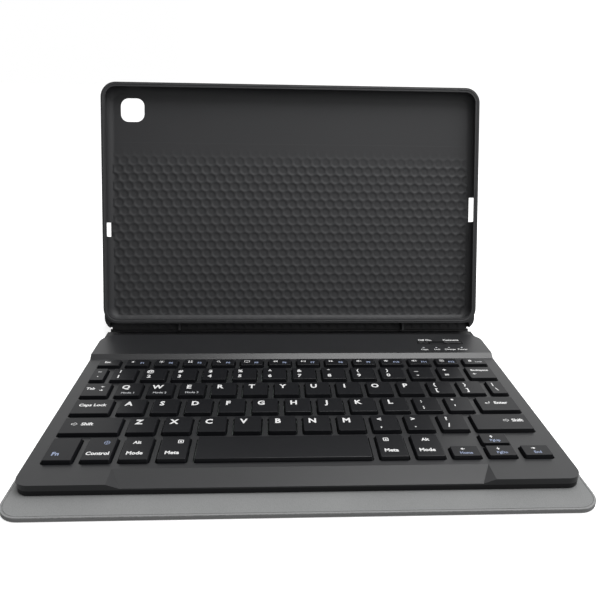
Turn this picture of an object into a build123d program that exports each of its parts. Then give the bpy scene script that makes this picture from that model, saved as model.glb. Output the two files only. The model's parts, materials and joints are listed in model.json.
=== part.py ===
from build123d import *
import math
import os

os.makedirs("parts", exist_ok=True)

# ---------------------------------------------------------------- driving sizes, in millimetres
# Tablet that the tray holds
tablet_width = 247.6
tablet_height = 153.9
tablet_thickness = 7.0
tablet_clearance = 0.2
tablet_corner = 7.5

# Moulded tray
tray_wall = 2.4
tray_floor = 1.0
lip_overhang = 0.4
lip_thickness = 0.8
cavity_cove = 4.6  # rounding between the tray's floor and walls, as on the tablet's back
chin_height = 5.0
chin_depth = 6.2
chin_end = 3.4  # solid end of the chin on each side
lean_angle = 18.5  # the tray leans back from upright

# Leather panels
skin_thickness = 0.7
board_thickness = 0.8
lining_thickness = 0.6
hem_width = 1.2
skin_crease_gap = 0.5  # from the fold line to the leather's flat part
board_crease_gap = 2.1  # from the fold line to the stiff layers
cover_reveal = 0.5  # how far the tray stands past the cover on each side
cover_corner = 10.0
back_reveal = 7.6  # how far the tray stands past the back panel on each side
front_ledge = 13.0  # bare cover in front of the keyboard
rear_ledge = 3.5  # bare cover behind it
tray_start = 2.6  # from the rear fold line to the tray
flap_prop_angle = 73.0  # the propped flap's slope from the table
flap_top_margin = 0.5
flap_lining = 0.55
camera_window = 15.8
camera_from_side = 11.0
camera_from_top = 8.2
camera_corner = 5.4
flap_camera_margin = 1.5

# Keyboard
key_pitch = 16.95
key_gap = 2.85
key_corner = 1.1
key_taper = 11.5
key_height = 1.8  # above the deck
key_skirt = 1.1  # below the deck
key_roof = 1.2
key_side = 0.9
key_travel = 1.6
window_clearance = 0.35
narrow_key = 8.4
backspace_width = 16.2
escape_width = 13.1
tab_width = 15.0
caps_width = 20.4
shift_width = 29.1
arrow_width = 13.8
arrow_gap = 1.0
top_row_depth = 8.4
bottom_row_depth = 17.8
side_margin = 7.0
front_margin = 14.0
hump_depth = 27.0
hump_slope = 3.2
hump_height = 2.2
deck_height = 5.5
deck_thickness = 1.2
shell_wall = 2.2
front_corner = 6.5
rear_corner = 9.5
scoop_drop = 2.2
scoop_depth = 10.5
scoop_half_width = 78.0
scoop_facet = 5.5
scoop_edge = 0.01
foot_gap = 0.25
closing_gap = 0.4  # between the closed tray's rim and the keyboard's hump

# Controls on the hump
control_from_rear = 12.7
lamp_from_rear = 19.6
control_from_side = 42.8
recess_length = 28.2
recess_width = 3.0
recess_depth = 0.6
recess_end = 0.6  # from the recess's end to the slider or button
slider_length = 6.0
slider_travel = 3.0
slider_width = 2.4
button_length = 11.0
button_travel = 0.5
lamp_radius = 0.6
lamp_pitch = 8.1

# Magnets and keepers
magnet_length = 20.0
magnet_width = 8.0
magnet_pitch = 98.0
magnet_inset = 20.0  # from the keyboard's front and rear edges
keeper_length = 22.0
keeper_width = 9.0
keeper_depth = 0.5
keeper_from_top = 14.0
keeper_spacing = 137.0

# ---------------------------------------------------------------- sizes that follow
panel_thickness = skin_thickness + board_thickness + lining_thickness
hinge_z = skin_thickness / 2
key_size = key_pitch - key_gap
key_block = narrow_key + key_gap + 12 * key_pitch + backspace_width
keyboard_width = key_block + 2 * side_margin
rows_depth = bottom_row_depth + 4 * key_pitch + 2 * key_gap + top_row_depth
keyboard_depth = front_margin + rows_depth + hump_slope + hump_depth

cavity_width = tablet_width + 2 * tablet_clearance
cavity_height = tablet_height + 2 * tablet_clearance
tray_width = cavity_width + 2 * tray_wall
rim_height = cavity_height + 2 * tray_wall
tray_depth = tray_floor + tablet_thickness + lip_thickness
tray_back = panel_thickness - hinge_z
tray_rim = tray_back + tray_depth
tray_top = tray_start + chin_height + rim_height
cover_width = tray_width - 2 * cover_reveal
back_width = tray_width - 2 * back_reveal

deck_z = panel_thickness + deck_height
hump_z = deck_z + hump_height
spine_length = hump_z + closing_gap + tray_rim - hinge_z
front_crease = front_ledge + keyboard_depth + rear_ledge
rear_crease = front_crease + spine_length

lean = math.radians(lean_angle)
flap_slope = math.radians(flap_prop_angle)
flap_skin_w = 0.05  # between the folded flap's pivot plane and its leather
flap_pivot_w = -skin_thickness / 2 - flap_skin_w
flap_end = tray_top - flap_top_margin
# the height at which the flap just reaches the table
hinge_drop = hinge_z + flap_pivot_w * math.sin(lean)
flap_hinge_height = (flap_end * math.sin(flap_slope) - hinge_drop) / (math.cos(lean) + math.sin(flap_slope))
flap_length = flap_end - flap_hinge_height
pivot_z = hinge_drop + flap_hinge_height * math.cos(lean)
pivot_s = rear_crease + flap_hinge_height * math.sin(lean) - flap_pivot_w * math.cos(lean)
flap_thickness = flap_skin_w + skin_thickness + board_thickness + flap_lining
foot_s = pivot_s + flap_length * math.cos(flap_slope) + flap_thickness * math.sin(flap_slope)
tray_top_s = rear_crease + tray_top * math.sin(lean) - tray_back * math.cos(lean)
case_depth = max(foot_s, tray_top_s)
front_y = -case_depth / 2  # Y of the cover's front edge, so that the origin is central

# ---------------------------------------------------------------- planes
panel_plane = Plane(origin=(0, front_y, 0))
back_plane = Plane(
    origin=(0, front_y + rear_crease, hinge_z),
    x_dir=(1, 0, 0),
    z_dir=(0, -math.cos(lean), math.sin(lean)),
)
flap_plane = Plane(
    origin=(0, front_y + pivot_s, pivot_z),
    x_dir=(1, 0, 0),
    z_dir=(0, math.sin(flap_slope), math.cos(flap_slope)),
)
keyboard_plane = Plane(origin=(0, front_y + front_ledge, panel_thickness))


def panel_shape(width, start, end, corner=0, rounded="none"):
    """Rectangle from start to end along the panel, with one end's corners rounded."""
    with Locations((0, (start + end) / 2)):
        Rectangle(width, end - start)
    if rounded == "start":
        fillet(vertices().group_by(Axis.Y)[0], corner)
    if rounded == "end":
        fillet(vertices().group_by(Axis.Y)[-1], corner)


def finish(builder, label):
    """Name the piece and write its file."""
    builder.part.label = label
    export_step(builder.part, f"parts/{label}.step")


# ================================================================ front cover, which lies flat
cover_end = front_crease - skin_crease_gap
stiff_end = front_crease - board_crease_gap

with BuildPart() as front_cover_skin:
    with BuildSketch(panel_plane):
        panel_shape(cover_width, 0, cover_end, cover_corner, "start")
    extrude(amount=skin_thickness)
    with BuildSketch(panel_plane.offset(skin_thickness)):
        panel_shape(cover_width, 0, stiff_end, cover_corner, "start")
        with BuildSketch(mode=Mode.PRIVATE) as cover_field:
            panel_shape(cover_width - 2 * hem_width, hem_width, stiff_end, cover_corner - hem_width, "start")
        add(cover_field, mode=Mode.SUBTRACT)
    extrude(amount=panel_thickness - skin_thickness)
finish(front_cover_skin, "front_cover_skin")

magnet_rows = keyboard_depth - 2 * magnet_inset
magnet_centre = front_ledge + keyboard_depth / 2

with BuildPart() as front_cover_board:
    with BuildSketch(panel_plane.offset(skin_thickness)):
        panel_shape(cover_width - 2 * hem_width, hem_width, stiff_end, cover_corner - hem_width, "start")
        with Locations((0, magnet_centre)):
            with GridLocations(magnet_pitch, magnet_rows, 3, 2):
                Rectangle(magnet_length, magnet_width, mode=Mode.SUBTRACT)
    extrude(amount=board_thickness)
finish(front_cover_board, "front_cover_board")

with BuildPart() as keyboard_magnets:
    with BuildSketch(panel_plane.offset(skin_thickness)):
        with Locations((0, magnet_centre)):
            with GridLocations(magnet_pitch, magnet_rows, 3, 2):
                Rectangle(magnet_length, magnet_width)
    extrude(amount=board_thickness)
finish(keyboard_magnets, "keyboard_magnets")

with BuildPart() as front_cover_lining:
    with BuildSketch(panel_plane.offset(skin_thickness + board_thickness)):
        panel_shape(cover_width - 2 * hem_width, hem_width, stiff_end, cover_corner - hem_width, "start")
    extrude(amount=lining_thickness)
finish(front_cover_lining, "front_cover_lining")

# ================================================================ spine, flat behind the cover
spine_stiff_start = front_crease + board_crease_gap
spine_stiff_end = rear_crease - board_crease_gap

with BuildPart() as spine_skin:
    with BuildSketch(panel_plane):
        panel_shape(cover_width, front_crease + skin_crease_gap, rear_crease - skin_crease_gap)
    extrude(amount=skin_thickness)
    with BuildSketch(panel_plane.offset(skin_thickness)):
        panel_shape(cover_width, spine_stiff_start, spine_stiff_end)
        with Locations((0, (spine_stiff_start + spine_stiff_end) / 2)):
            Rectangle(cover_width - 2 * hem_width, spine_length, mode=Mode.SUBTRACT)
    extrude(amount=panel_thickness - skin_thickness)
finish(spine_skin, "spine_skin")

with BuildPart() as spine_board:
    with BuildSketch(panel_plane.offset(skin_thickness)):
        panel_shape(cover_width - 2 * hem_width, spine_stiff_start, spine_stiff_end)
    extrude(amount=board_thickness)
finish(spine_board, "spine_board")

with BuildPart() as spine_lining:
    with BuildSketch(panel_plane.offset(skin_thickness + board_thickness)):
        panel_shape(cover_width - 2 * hem_width, spine_stiff_start, spine_stiff_end)
    extrude(amount=lining_thickness)
finish(spine_lining, "spine_lining")

# ================================================================ back panel and tray, leaning back
back_end = flap_hinge_height - skin_crease_gap
board_w = skin_thickness / 2
pad_w = board_w + board_thickness

with BuildPart() as back_skin:
    with BuildSketch(back_plane.offset(-skin_thickness / 2)):
        panel_shape(back_width, skin_crease_gap, back_end)
    extrude(amount=skin_thickness)
    with BuildSketch(back_plane.offset(board_w)):
        with GridLocations(back_width - hem_width, 0, 2, 1):
            panel_shape(hem_width, board_crease_gap, back_end)
    extrude(amount=tray_back - board_w)
finish(back_skin, "back_skin")

with BuildPart() as back_board:
    with BuildSketch(back_plane.offset(board_w)):
        panel_shape(back_width - 2 * hem_width, board_crease_gap, back_end)
    extrude(amount=board_thickness)
finish(back_board, "back_board")

with BuildPart() as tray_bonding_pad:
    with BuildSketch(back_plane.offset(pad_w)):
        panel_shape(back_width - 2 * hem_width, board_crease_gap, back_end)
    extrude(amount=tray_back - pad_w)
finish(tray_bonding_pad, "tray_bonding_pad")

rim_start = tray_start + chin_height
rim_centre = rim_start + rim_height / 2
tray_corner = tablet_corner + tray_wall
keeper_height = tray_top - keeper_from_top
camera_x = -tray_width / 2 + camera_from_side + camera_window / 2
camera_y = tray_top - camera_from_top - camera_window / 2
rib_x = 76.5
rib_width = 1.4
notch_x = 46.5
notch_width = 24.0
notch_height = 1.2
slot_reach = 4.4  # how far the slots cut into the floor
slot_depth = 7.4
slot_corner = 1.4
right_slot = 16.9
right_slot_rise = -1.4  # from the middle of the rim
left_slot = 9.6
left_slot_rise = -16.7
slot_side = (tray_width - tray_wall) / 2

with BuildPart() as tray_shell:
    with BuildSketch(back_plane.offset(tray_back)):
        panel_shape(tray_width, tray_start, tray_top, tray_corner, "end")
        fillet(vertices().group_by(Axis.Y)[0], tray_corner - 1.5)
    extrude(amount=chin_depth)
    with BuildSketch(back_plane.offset(tray_back)):
        with Locations((0, rim_centre)):
            RectangleRounded(tray_width, rim_height, tray_corner)
    extrude(amount=tray_depth)
    # the tablet's space, under the lip, and the mouth through the lip
    with BuildSketch(back_plane.offset(tray_back + tray_floor)):
        with Locations((0, rim_centre)):
            RectangleRounded(cavity_width, cavity_height, tablet_corner)
    extrude(amount=tablet_thickness, mode=Mode.SUBTRACT)
    floor_edges = edges(Select.LAST).group_by(Axis(back_plane.origin, back_plane.z_dir))[0]
    fillet(floor_edges, cavity_cove)
    with BuildSketch(back_plane.offset(tray_back + tray_floor + tablet_thickness)):
        with Locations((0, rim_centre)):
            mouth_width = cavity_width - 2 * lip_overhang
            mouth_height = cavity_height - 2 * lip_overhang
            RectangleRounded(mouth_width, mouth_height, tablet_corner - lip_overhang)
    extrude(amount=lip_thickness, mode=Mode.SUBTRACT)
    # the channel along the chin, open below, with two ribs left standing in it
    with BuildSketch(back_plane.offset(tray_back + tray_floor)):
        with Locations((0, (tray_start + rim_start) / 2)):
            Rectangle(tray_width - 2 * chin_end, chin_height)
        with Locations((-rib_x, (tray_start + rim_start) / 2), (rib_x, (tray_start + rim_start) / 2)):
            Rectangle(rib_width, chin_height, mode=Mode.SUBTRACT)
    extrude(amount=chin_depth, mode=Mode.SUBTRACT)
    # a shallow notch in the chin's lower edge on each side
    with BuildSketch(back_plane.offset(tray_back)):
        with Locations((-notch_x, tray_start + notch_height / 2), (notch_x, tray_start + notch_height / 2)):
            Rectangle(notch_width, notch_height)
    extrude(amount=tray_floor, mode=Mode.SUBTRACT)
    # camera window, and the slots in the side walls
    with BuildSketch(back_plane.offset(tray_back)):
        with Locations((camera_x, camera_y)):
            RectangleRounded(camera_window, camera_window, camera_corner)
    extrude(amount=tray_floor, mode=Mode.SUBTRACT)
    with BuildSketch(back_plane.offset(tray_back)):
        with Locations((slot_side, rim_centre + right_slot_rise)):
            RectangleRounded(2 * slot_reach + tray_wall, right_slot, slot_corner)
        with Locations((-slot_side, rim_centre + left_slot_rise)):
            RectangleRounded(2 * slot_reach + tray_wall, left_slot, slot_corner)
    extrude(amount=slot_depth, mode=Mode.SUBTRACT)
    # pockets in the back for the steel keepers
    with BuildSketch(back_plane.offset(tray_back)):
        with Locations((0, keeper_height)):
            with GridLocations(keeper_spacing, 0, 2, 1):
                Rectangle(keeper_length, keeper_width)
    extrude(amount=keeper_depth, mode=Mode.SUBTRACT)
finish(tray_shell, "tray_shell")

with BuildPart() as tray_keepers:
    with BuildSketch(back_plane.offset(tray_back)):
        with Locations((0, keeper_height)):
            with GridLocations(keeper_spacing, 0, 2, 1):
                Rectangle(keeper_length, keeper_width)
    extrude(amount=keeper_depth)
finish(tray_keepers, "tray_keepers")

# ================================================================ fold-out flap, propped on the table
flap_corner = tray_corner - back_reveal
flap_camera = camera_window + 2 * flap_camera_margin
flap_field_width = back_width - 2 * hem_width
field_end = flap_length - hem_width
flap_camera_y = camera_y - flap_hinge_height
flap_keeper_y = keeper_height - flap_hinge_height
flap_board_w = flap_skin_w + skin_thickness
flap_lining_w = flap_board_w + board_thickness

with BuildPart() as kickstand_skin:
    with BuildSketch(flap_plane.offset(flap_skin_w)):
        panel_shape(back_width, skin_crease_gap, flap_length, flap_corner, "end")
        with Locations((camera_x, flap_camera_y)):
            RectangleRounded(flap_camera, flap_camera, camera_corner + flap_camera_margin, mode=Mode.SUBTRACT)
    extrude(amount=skin_thickness)
    with BuildSketch(flap_plane.offset(flap_board_w)):
        panel_shape(back_width, skin_crease_gap, flap_length, flap_corner, "end")
        with BuildSketch(mode=Mode.PRIVATE) as flap_field:
            panel_shape(flap_field_width, skin_crease_gap, field_end, flap_corner - hem_width, "end")
        add(flap_field, mode=Mode.SUBTRACT)
    extrude(amount=board_thickness + flap_lining)
finish(kickstand_skin, "kickstand_skin")

with BuildPart() as kickstand_board:
    with BuildSketch(flap_plane.offset(flap_board_w)):
        panel_shape(flap_field_width, skin_crease_gap, field_end, flap_corner - hem_width, "end")
        with Locations((camera_x, flap_camera_y)):
            RectangleRounded(flap_camera, flap_camera, camera_corner + flap_camera_margin, mode=Mode.SUBTRACT)
        with Locations((0, flap_keeper_y)):
            with GridLocations(keeper_spacing, 0, 2, 1):
                Rectangle(keeper_length, keeper_width, mode=Mode.SUBTRACT)
    extrude(amount=board_thickness)
finish(kickstand_board, "kickstand_board")

with BuildPart() as kickstand_magnets:
    with BuildSketch(flap_plane.offset(flap_board_w)):
        with Locations((0, flap_keeper_y)):
            with GridLocations(keeper_spacing, 0, 2, 1):
                Rectangle(keeper_length, keeper_width)
    extrude(amount=board_thickness)
finish(kickstand_magnets, "kickstand_magnets")

with BuildPart() as kickstand_lining:
    with BuildSketch(flap_plane.offset(flap_lining_w)):
        panel_shape(flap_field_width, skin_crease_gap, field_end, flap_corner - hem_width, "end")
        with Locations((camera_x, flap_camera_y)):
            RectangleRounded(flap_camera, flap_camera, camera_corner + flap_camera_margin, mode=Mode.SUBTRACT)
    extrude(amount=flap_lining)
finish(kickstand_lining, "kickstand_lining")

# ================================================================ key layout
# Each key is (node, centre x, centre y, width, depth), in the keyboard's own plane.
top_key_width = (key_block - 13 * key_gap) / 14
layout = []


def lay_row(front, depth, run):
    """Set out one row from left to right. A width of None takes what is left of the block."""
    taken = sum(width for node, width in run if width is not None) + key_gap * (len(run) - 1)
    x = -key_block / 2
    for node, width in run:
        width = key_block - taken if width is None else width
        layout.append((node, x + width / 2, front + depth / 2, width, depth))
        x = x + width + key_gap


row_front = front_margin
bottom_run = [("fn_key", top_key_width), ("control_key", top_key_width)]
bottom_run += [("left_option_key", top_key_width), ("left_command_key", top_key_width)]
bottom_run += [("space_key", None), ("right_command_key", arrow_width), ("right_option_key", arrow_width)]
arrow_pitch = arrow_width + key_gap
arrow_block = 3 * arrow_width + 2 * key_gap
bottom_run += [("arrow_block", arrow_block)]
lay_row(row_front, bottom_row_depth, bottom_run)

# the arrow keys share the last place: left, down and right in front, up behind the down key
node, arrow_x, arrow_y, width, depth = layout.pop()
half_depth = (bottom_row_depth - arrow_gap) / 2
front_half = row_front + half_depth / 2
rear_half = row_front + bottom_row_depth - half_depth / 2
layout.append(("left_arrow_key", arrow_x - arrow_pitch, front_half, arrow_width, half_depth))
layout.append(("up_arrow_key", arrow_x, rear_half, arrow_width, half_depth))
layout.append(("right_arrow_key", arrow_x + arrow_pitch, front_half, arrow_width, half_depth))
layout.append(("down_arrow_key", arrow_x, front_half, arrow_width, half_depth))

row_front = row_front + bottom_row_depth + key_gap
letters = [("lower_letter_keys", key_size)] * 10
lay_row(row_front, key_size, [("left_shift_key", shift_width), *letters, ("right_shift_key", None)])
row_front = row_front + key_pitch
letters = [("home_letter_keys", key_size)] * 11
lay_row(row_front, key_size, [("caps_lock_key", caps_width), *letters, ("enter_key", None)])
row_front = row_front + key_pitch
letters = [("upper_letter_keys", key_size)] * 12
lay_row(row_front, key_size, [("tab_key", tab_width), *letters, ("backslash_key", None)])
row_front = row_front + key_pitch
digits = [("number_keys", key_size)] * 12
lay_row(row_front, key_size, [("backquote_key", narrow_key), *digits, ("backspace_key", None)])
row_front = row_front + key_pitch
functions = [("function_keys", top_key_width)] * 12
lay_row(row_front, top_row_depth, [("escape_key", escape_width), *functions, ("lock_key", None)])

# ================================================================ keyboard shells
split_z = 2.6  # height of the join between the shells, above the cover
floor_z = 1.0  # inside face of the bottom shell
screw_inset = 3.9
screw_start = 10.0
screw_end = 9.0
screw_x = keyboard_width / 2 - screw_inset
screw_pitch = (keyboard_depth - screw_start - screw_end) / 3
boss_radius = 2.0
screw_radius = 0.7
screw_head = 1.3
head_height = 0.6
screw_slot = 1.5
screw_slot_width = 0.3
inner_width = keyboard_width - 2 * shell_wall
front_lip = 1.5  # solid strip behind the scoop
inner_start = scoop_depth + front_lip
inner_end = keyboard_depth - shell_wall
hump_start = keyboard_depth - hump_depth
roof_z = deck_height - deck_thickness
screw_top = roof_z - 0.2
hump_roof_z = roof_z + hump_height

control_y = keyboard_depth - control_from_rear
lamp_y = keyboard_depth - lamp_from_rear
recess_start = keyboard_width / 2 - control_from_side
neck_length = 2.4
neck_width = 1.2
control_clearance = 0.25
lamp_clearance = 0.05
lamp_inset = 1.9
lamp_x = recess_start + lamp_inset
slider_x = recess_start + recess_end + slider_length / 2
button_x = recess_start + recess_length - recess_end - button_length / 2
hump_wall_start = hump_start + 1.0  # the deeper hollow starts behind the slope
floor_rest = 0.8  # from the bottom shell's floor to the circuit board
pcb_z = floor_z + floor_rest
pcb_thickness = 1.0
pcb_top = pcb_z + pcb_thickness
port_width = 8.0
port_height = 2.6
port_corner = 0.9
port_depth = 5.6
port_inset = 0.3
port_wall = 0.4
port_from_rear = 15.0
port_y = keyboard_depth - port_from_rear
port_z = pcb_top + port_height / 2
tongue_inset = 1.5
tongue_thickness = 0.6
foot_thickness = 0.5
foot_length = 34.0
foot_width = 6.0
foot_inset = 12.0
foot_pitch = 88.0


def outline():
    """The keyboard's plan, with its own front and rear corners."""
    with Locations((0, keyboard_depth / 2)):
        Rectangle(keyboard_width, keyboard_depth)
    fillet(vertices().group_by(Axis.Y)[0], front_corner)
    fillet(vertices().group_by(Axis.Y)[-1], rear_corner)


screw_places = [(side * screw_x, screw_start + i * screw_pitch) for side in (-1, 1) for i in range(4)]
right_side = Plane(
    origin=keyboard_plane.origin + Vector(keyboard_width / 2, 0, 0), x_dir=(0, 1, 0), z_dir=(1, 0, 0)
)
trim = 1.0  # how far cutting shapes stand past the part

with BuildPart() as keyboard_top_shell:
    with BuildSketch(keyboard_plane.offset(split_z)):
        outline()
    extrude(amount=deck_height + hump_height - split_z)
    # everything above the deck, in front of the hump
    with BuildSketch(right_side):
        with BuildLine():
            Polyline(
                (-trim, deck_height),
                (hump_start - hump_slope, deck_height),
                (hump_start, deck_height + hump_height),
                (hump_start, deck_height + hump_height + trim),
                (-trim, deck_height + hump_height + trim),
                close=True,
            )
        make_face()
    extrude(amount=-keyboard_width, mode=Mode.SUBTRACT)
    # finger scoop in the front edge, as a wedge with slanted ends
    with BuildSketch(keyboard_plane.offset(deck_height)):
        with Locations((0, scoop_depth / 2)):
            Rectangle(2 * (scoop_half_width + scoop_facet), scoop_depth)
    with BuildSketch(keyboard_plane.offset(deck_height - scoop_drop)):
        with Locations((0, scoop_edge / 2)):
            Rectangle(2 * scoop_half_width, scoop_edge)
    loft(mode=Mode.SUBTRACT)
    # hollow under the deck, and the deeper one under the hump
    with BuildSketch(keyboard_plane.offset(split_z)):
        with Locations((0, (inner_start + inner_end) / 2)):
            RectangleRounded(inner_width, inner_end - inner_start, rear_corner - shell_wall)
    extrude(amount=roof_z - split_z, mode=Mode.SUBTRACT)
    with BuildSketch(keyboard_plane.offset(split_z)):
        with Locations((0, (hump_wall_start + inner_end) / 2)):
            RectangleRounded(inner_width, inner_end - hump_wall_start, rear_corner - shell_wall)
    extrude(amount=hump_roof_z - split_z, mode=Mode.SUBTRACT)
    # screw bosses
    with BuildSketch(keyboard_plane.offset(split_z)):
        with Locations(*screw_places):
            Circle(boss_radius)
    extrude(amount=roof_z - split_z)
    with BuildSketch(keyboard_plane.offset(split_z)):
        with Locations(*screw_places):
            Circle(screw_radius)
    extrude(amount=screw_top - split_z, mode=Mode.SUBTRACT)
    # one window for every key
    with BuildSketch(keyboard_plane.offset(roof_z)):
        for node, x, y, width, depth in layout:
            with Locations((x, y)):
                window_width, window_depth = width + 2 * window_clearance, depth + 2 * window_clearance
                RectangleRounded(window_width, window_depth, key_corner + window_clearance)
    extrude(amount=deck_thickness, mode=Mode.SUBTRACT)
    # recess for the controls, with the slider's slot and the button's window
    with BuildSketch(keyboard_plane.offset(deck_height + hump_height - recess_depth)):
        with Locations((recess_start + recess_length / 2, control_y)):
            RectangleRounded(recess_length, recess_width, recess_width / 2 - 0.1)
    extrude(amount=recess_depth, mode=Mode.SUBTRACT)
    with BuildSketch(keyboard_plane.offset(hump_roof_z)):
        with Locations((slider_x + slider_travel / 2, control_y)):
            Rectangle(neck_length + slider_travel + 2 * control_clearance, neck_width + 2 * control_clearance)
        with Locations((button_x, control_y)):
            Rectangle(button_length - 1, neck_width + 2 * control_clearance)
        for i in range(4):
            with Locations((lamp_x + i * lamp_pitch, lamp_y)):
                Circle(lamp_radius + lamp_clearance)
    extrude(amount=deck_thickness, mode=Mode.SUBTRACT)
    # mouth of the charging port, in the right-hand wall
    with BuildSketch(right_side.offset(-shell_wall)):
        with Locations((port_y, port_z)):
            RectangleRounded(port_width, port_height, port_corner)
    extrude(amount=shell_wall, mode=Mode.SUBTRACT)
finish(keyboard_top_shell, "keyboard_top_shell")

foot_rows = keyboard_depth - 2 * foot_inset

with BuildPart() as keyboard_bottom_shell:
    with BuildSketch(keyboard_plane.offset(foot_gap)):
        outline()
    extrude(amount=split_z - foot_gap)
    with BuildSketch(keyboard_plane.offset(floor_z)):
        with Locations((0, keyboard_depth / 2)):
            RectangleRounded(inner_width, keyboard_depth - 2 * shell_wall, front_corner - shell_wall)
    extrude(amount=split_z - floor_z, mode=Mode.SUBTRACT)
    with BuildSketch(keyboard_plane.offset(foot_gap)):
        with Locations(*screw_places):
            Circle(boss_radius)
    extrude(amount=split_z - foot_gap)
    with BuildSketch(keyboard_plane.offset(foot_gap)):
        with Locations(*screw_places):
            Circle(screw_radius)
    extrude(amount=split_z - foot_gap, mode=Mode.SUBTRACT)
    with BuildSketch(keyboard_plane.offset(foot_gap)):
        with Locations(*screw_places):
            Circle(screw_head)
    extrude(amount=head_height, mode=Mode.SUBTRACT)
    with BuildSketch(keyboard_plane.offset(foot_gap)):
        with Locations((0, keyboard_depth / 2)):
            with GridLocations(foot_pitch, foot_rows, 3, 2):
                SlotOverall(foot_length, foot_width)
    extrude(amount=foot_thickness - foot_gap, mode=Mode.SUBTRACT)
finish(keyboard_bottom_shell, "keyboard_bottom_shell")

with BuildPart() as rubber_feet:
    with BuildSketch(keyboard_plane):
        with Locations((0, keyboard_depth / 2)):
            with GridLocations(foot_pitch, foot_rows, 3, 2):
                SlotOverall(foot_length, foot_width)
    extrude(amount=foot_thickness)
finish(rubber_feet, "rubber_feet")

with BuildPart() as shell_screws:
    with BuildSketch(keyboard_plane.offset(foot_gap)):
        with Locations(*screw_places):
            Circle(screw_head)
    extrude(amount=head_height)
    with BuildSketch(keyboard_plane.offset(foot_gap)):
        with Locations(*screw_places):
            Circle(screw_radius)
    extrude(amount=screw_top - 0.2 - foot_gap)
    with BuildSketch(keyboard_plane.offset(foot_gap)):
        with Locations(*screw_places):
            Rectangle(screw_slot, screw_slot_width)
            Rectangle(screw_slot_width, screw_slot)
    extrude(amount=head_height / 2, mode=Mode.SUBTRACT)
finish(shell_screws, "shell_screws")

# ================================================================ inside the keyboard
plate_thickness = 0.4
membrane_thickness = 0.25
plate_margin = 0.3
plate_width = 2 * (screw_x - boss_radius - plate_margin)
plate_start = front_margin - 1.5
plate_end = hump_start - 1.0
plate_top = floor_z + plate_thickness
link_z = plate_top + membrane_thickness
dome_radius = 2.5
dome_height = 2.3
dome_taper = 22
link_thickness = 0.6
link_width = 0.9
link_inset = 1.25
link_shortening = 3.0

with BuildPart() as key_support_plate:
    with BuildSketch(keyboard_plane.offset(floor_z)):
        panel_shape(plate_width, plate_start, plate_end)
    extrude(amount=plate_thickness)
finish(key_support_plate, "key_support_plate")

with BuildPart() as membrane_sheet:
    with BuildSketch(keyboard_plane.offset(plate_top)):
        panel_shape(plate_width, plate_start, plate_end)
    extrude(amount=membrane_thickness)
finish(membrane_sheet, "membrane_sheet")

with BuildPart() as rubber_domes:
    for node, x, y, width, depth in layout:
        with BuildSketch(keyboard_plane.offset(link_z)):
            with Locations((x, y)):
                Circle(dome_radius)
    extrude(amount=dome_height, taper=dome_taper)
finish(rubber_domes, "rubber_domes")

with BuildPart() as scissor_links:
    for node, x, y, width, depth in layout:
        link_x = width / 2 - link_inset
        with BuildSketch(keyboard_plane.offset(link_z)):
            with Locations((x - link_x, y), (x + link_x, y)):
                Rectangle(link_width, depth - link_shortening)
    extrude(amount=link_thickness)
finish(scissor_links, "scissor_links")

board_margin = 2.0
board_start = hump_start + board_margin + 0.5
board_depth = hump_depth - shell_wall - 2 * board_margin
board_centre = board_start + board_depth / 2
pcb_width = 70.0
pcb_side_gap = 3.0
pcb_x = keyboard_width / 2 - shell_wall - boss_radius - pcb_side_gap - pcb_width / 2
standoff_radius = 1.5
standoff_inset = 3.0
chip_size = 9.0
chip_x = pcb_x - 22.0
radio_size = 5.0
radio_x = pcb_x - 8.0
chip_height = 1.0

with BuildPart() as circuit_board:
    with BuildSketch(keyboard_plane.offset(pcb_z)):
        with Locations((pcb_x, board_centre)):
            Rectangle(pcb_width, board_depth)
    extrude(amount=pcb_thickness)
    with BuildSketch(keyboard_plane.offset(floor_z)):
        with Locations((pcb_x, board_centre)):
            with GridLocations(pcb_width - 2 * standoff_inset, board_depth - 2 * standoff_inset, 2, 2):
                Circle(standoff_radius)
    extrude(amount=pcb_z - floor_z)
    with BuildSketch(keyboard_plane.offset(pcb_top)):
        with Locations((chip_x, board_centre)):
            Rectangle(chip_size, chip_size)
        with Locations((radio_x, board_centre)):
            Rectangle(radio_size, radio_size)
    extrude(amount=chip_height)
finish(circuit_board, "circuit_board")

battery_width = 64.0
battery_thickness = 3.4
battery_corner = 1.0

with BuildPart() as battery_cell:
    with BuildSketch(keyboard_plane.offset(floor_z)):
        with Locations((-battery_width / 2, board_centre)):
            RectangleRounded(battery_width, board_depth - battery_corner, battery_corner)
    extrude(amount=battery_thickness)
finish(battery_cell, "battery_cell")

with BuildPart() as charging_port:
    with BuildSketch(right_side.offset(-shell_wall - port_depth)):
        with Locations((port_y, port_z)):
            RectangleRounded(port_width, port_height, port_corner)
    extrude(amount=port_depth + shell_wall - port_inset)
    with BuildSketch(right_side.offset(-port_inset)):
        with Locations((port_y, port_z)):
            RectangleRounded(port_width - 2 * port_wall, port_height - 2 * port_wall, port_corner - port_wall)
            Rectangle(port_width - 2 * tongue_inset, tongue_thickness, mode=Mode.SUBTRACT)
    extrude(amount=-port_depth, mode=Mode.SUBTRACT)
finish(charging_port, "charging_port")

control_gap = 0.05
slider_z = deck_height + hump_height - recess_depth + control_gap
slider_proud = 0.2
slider_corner = 0.5
grip_pitch = 0.8
grip_width = 0.35
neck_drop = 1.0
button_z = slider_z + button_travel
button_proud = 0.35
button_corner = 1.1
switch_gap = 1.3

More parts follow.
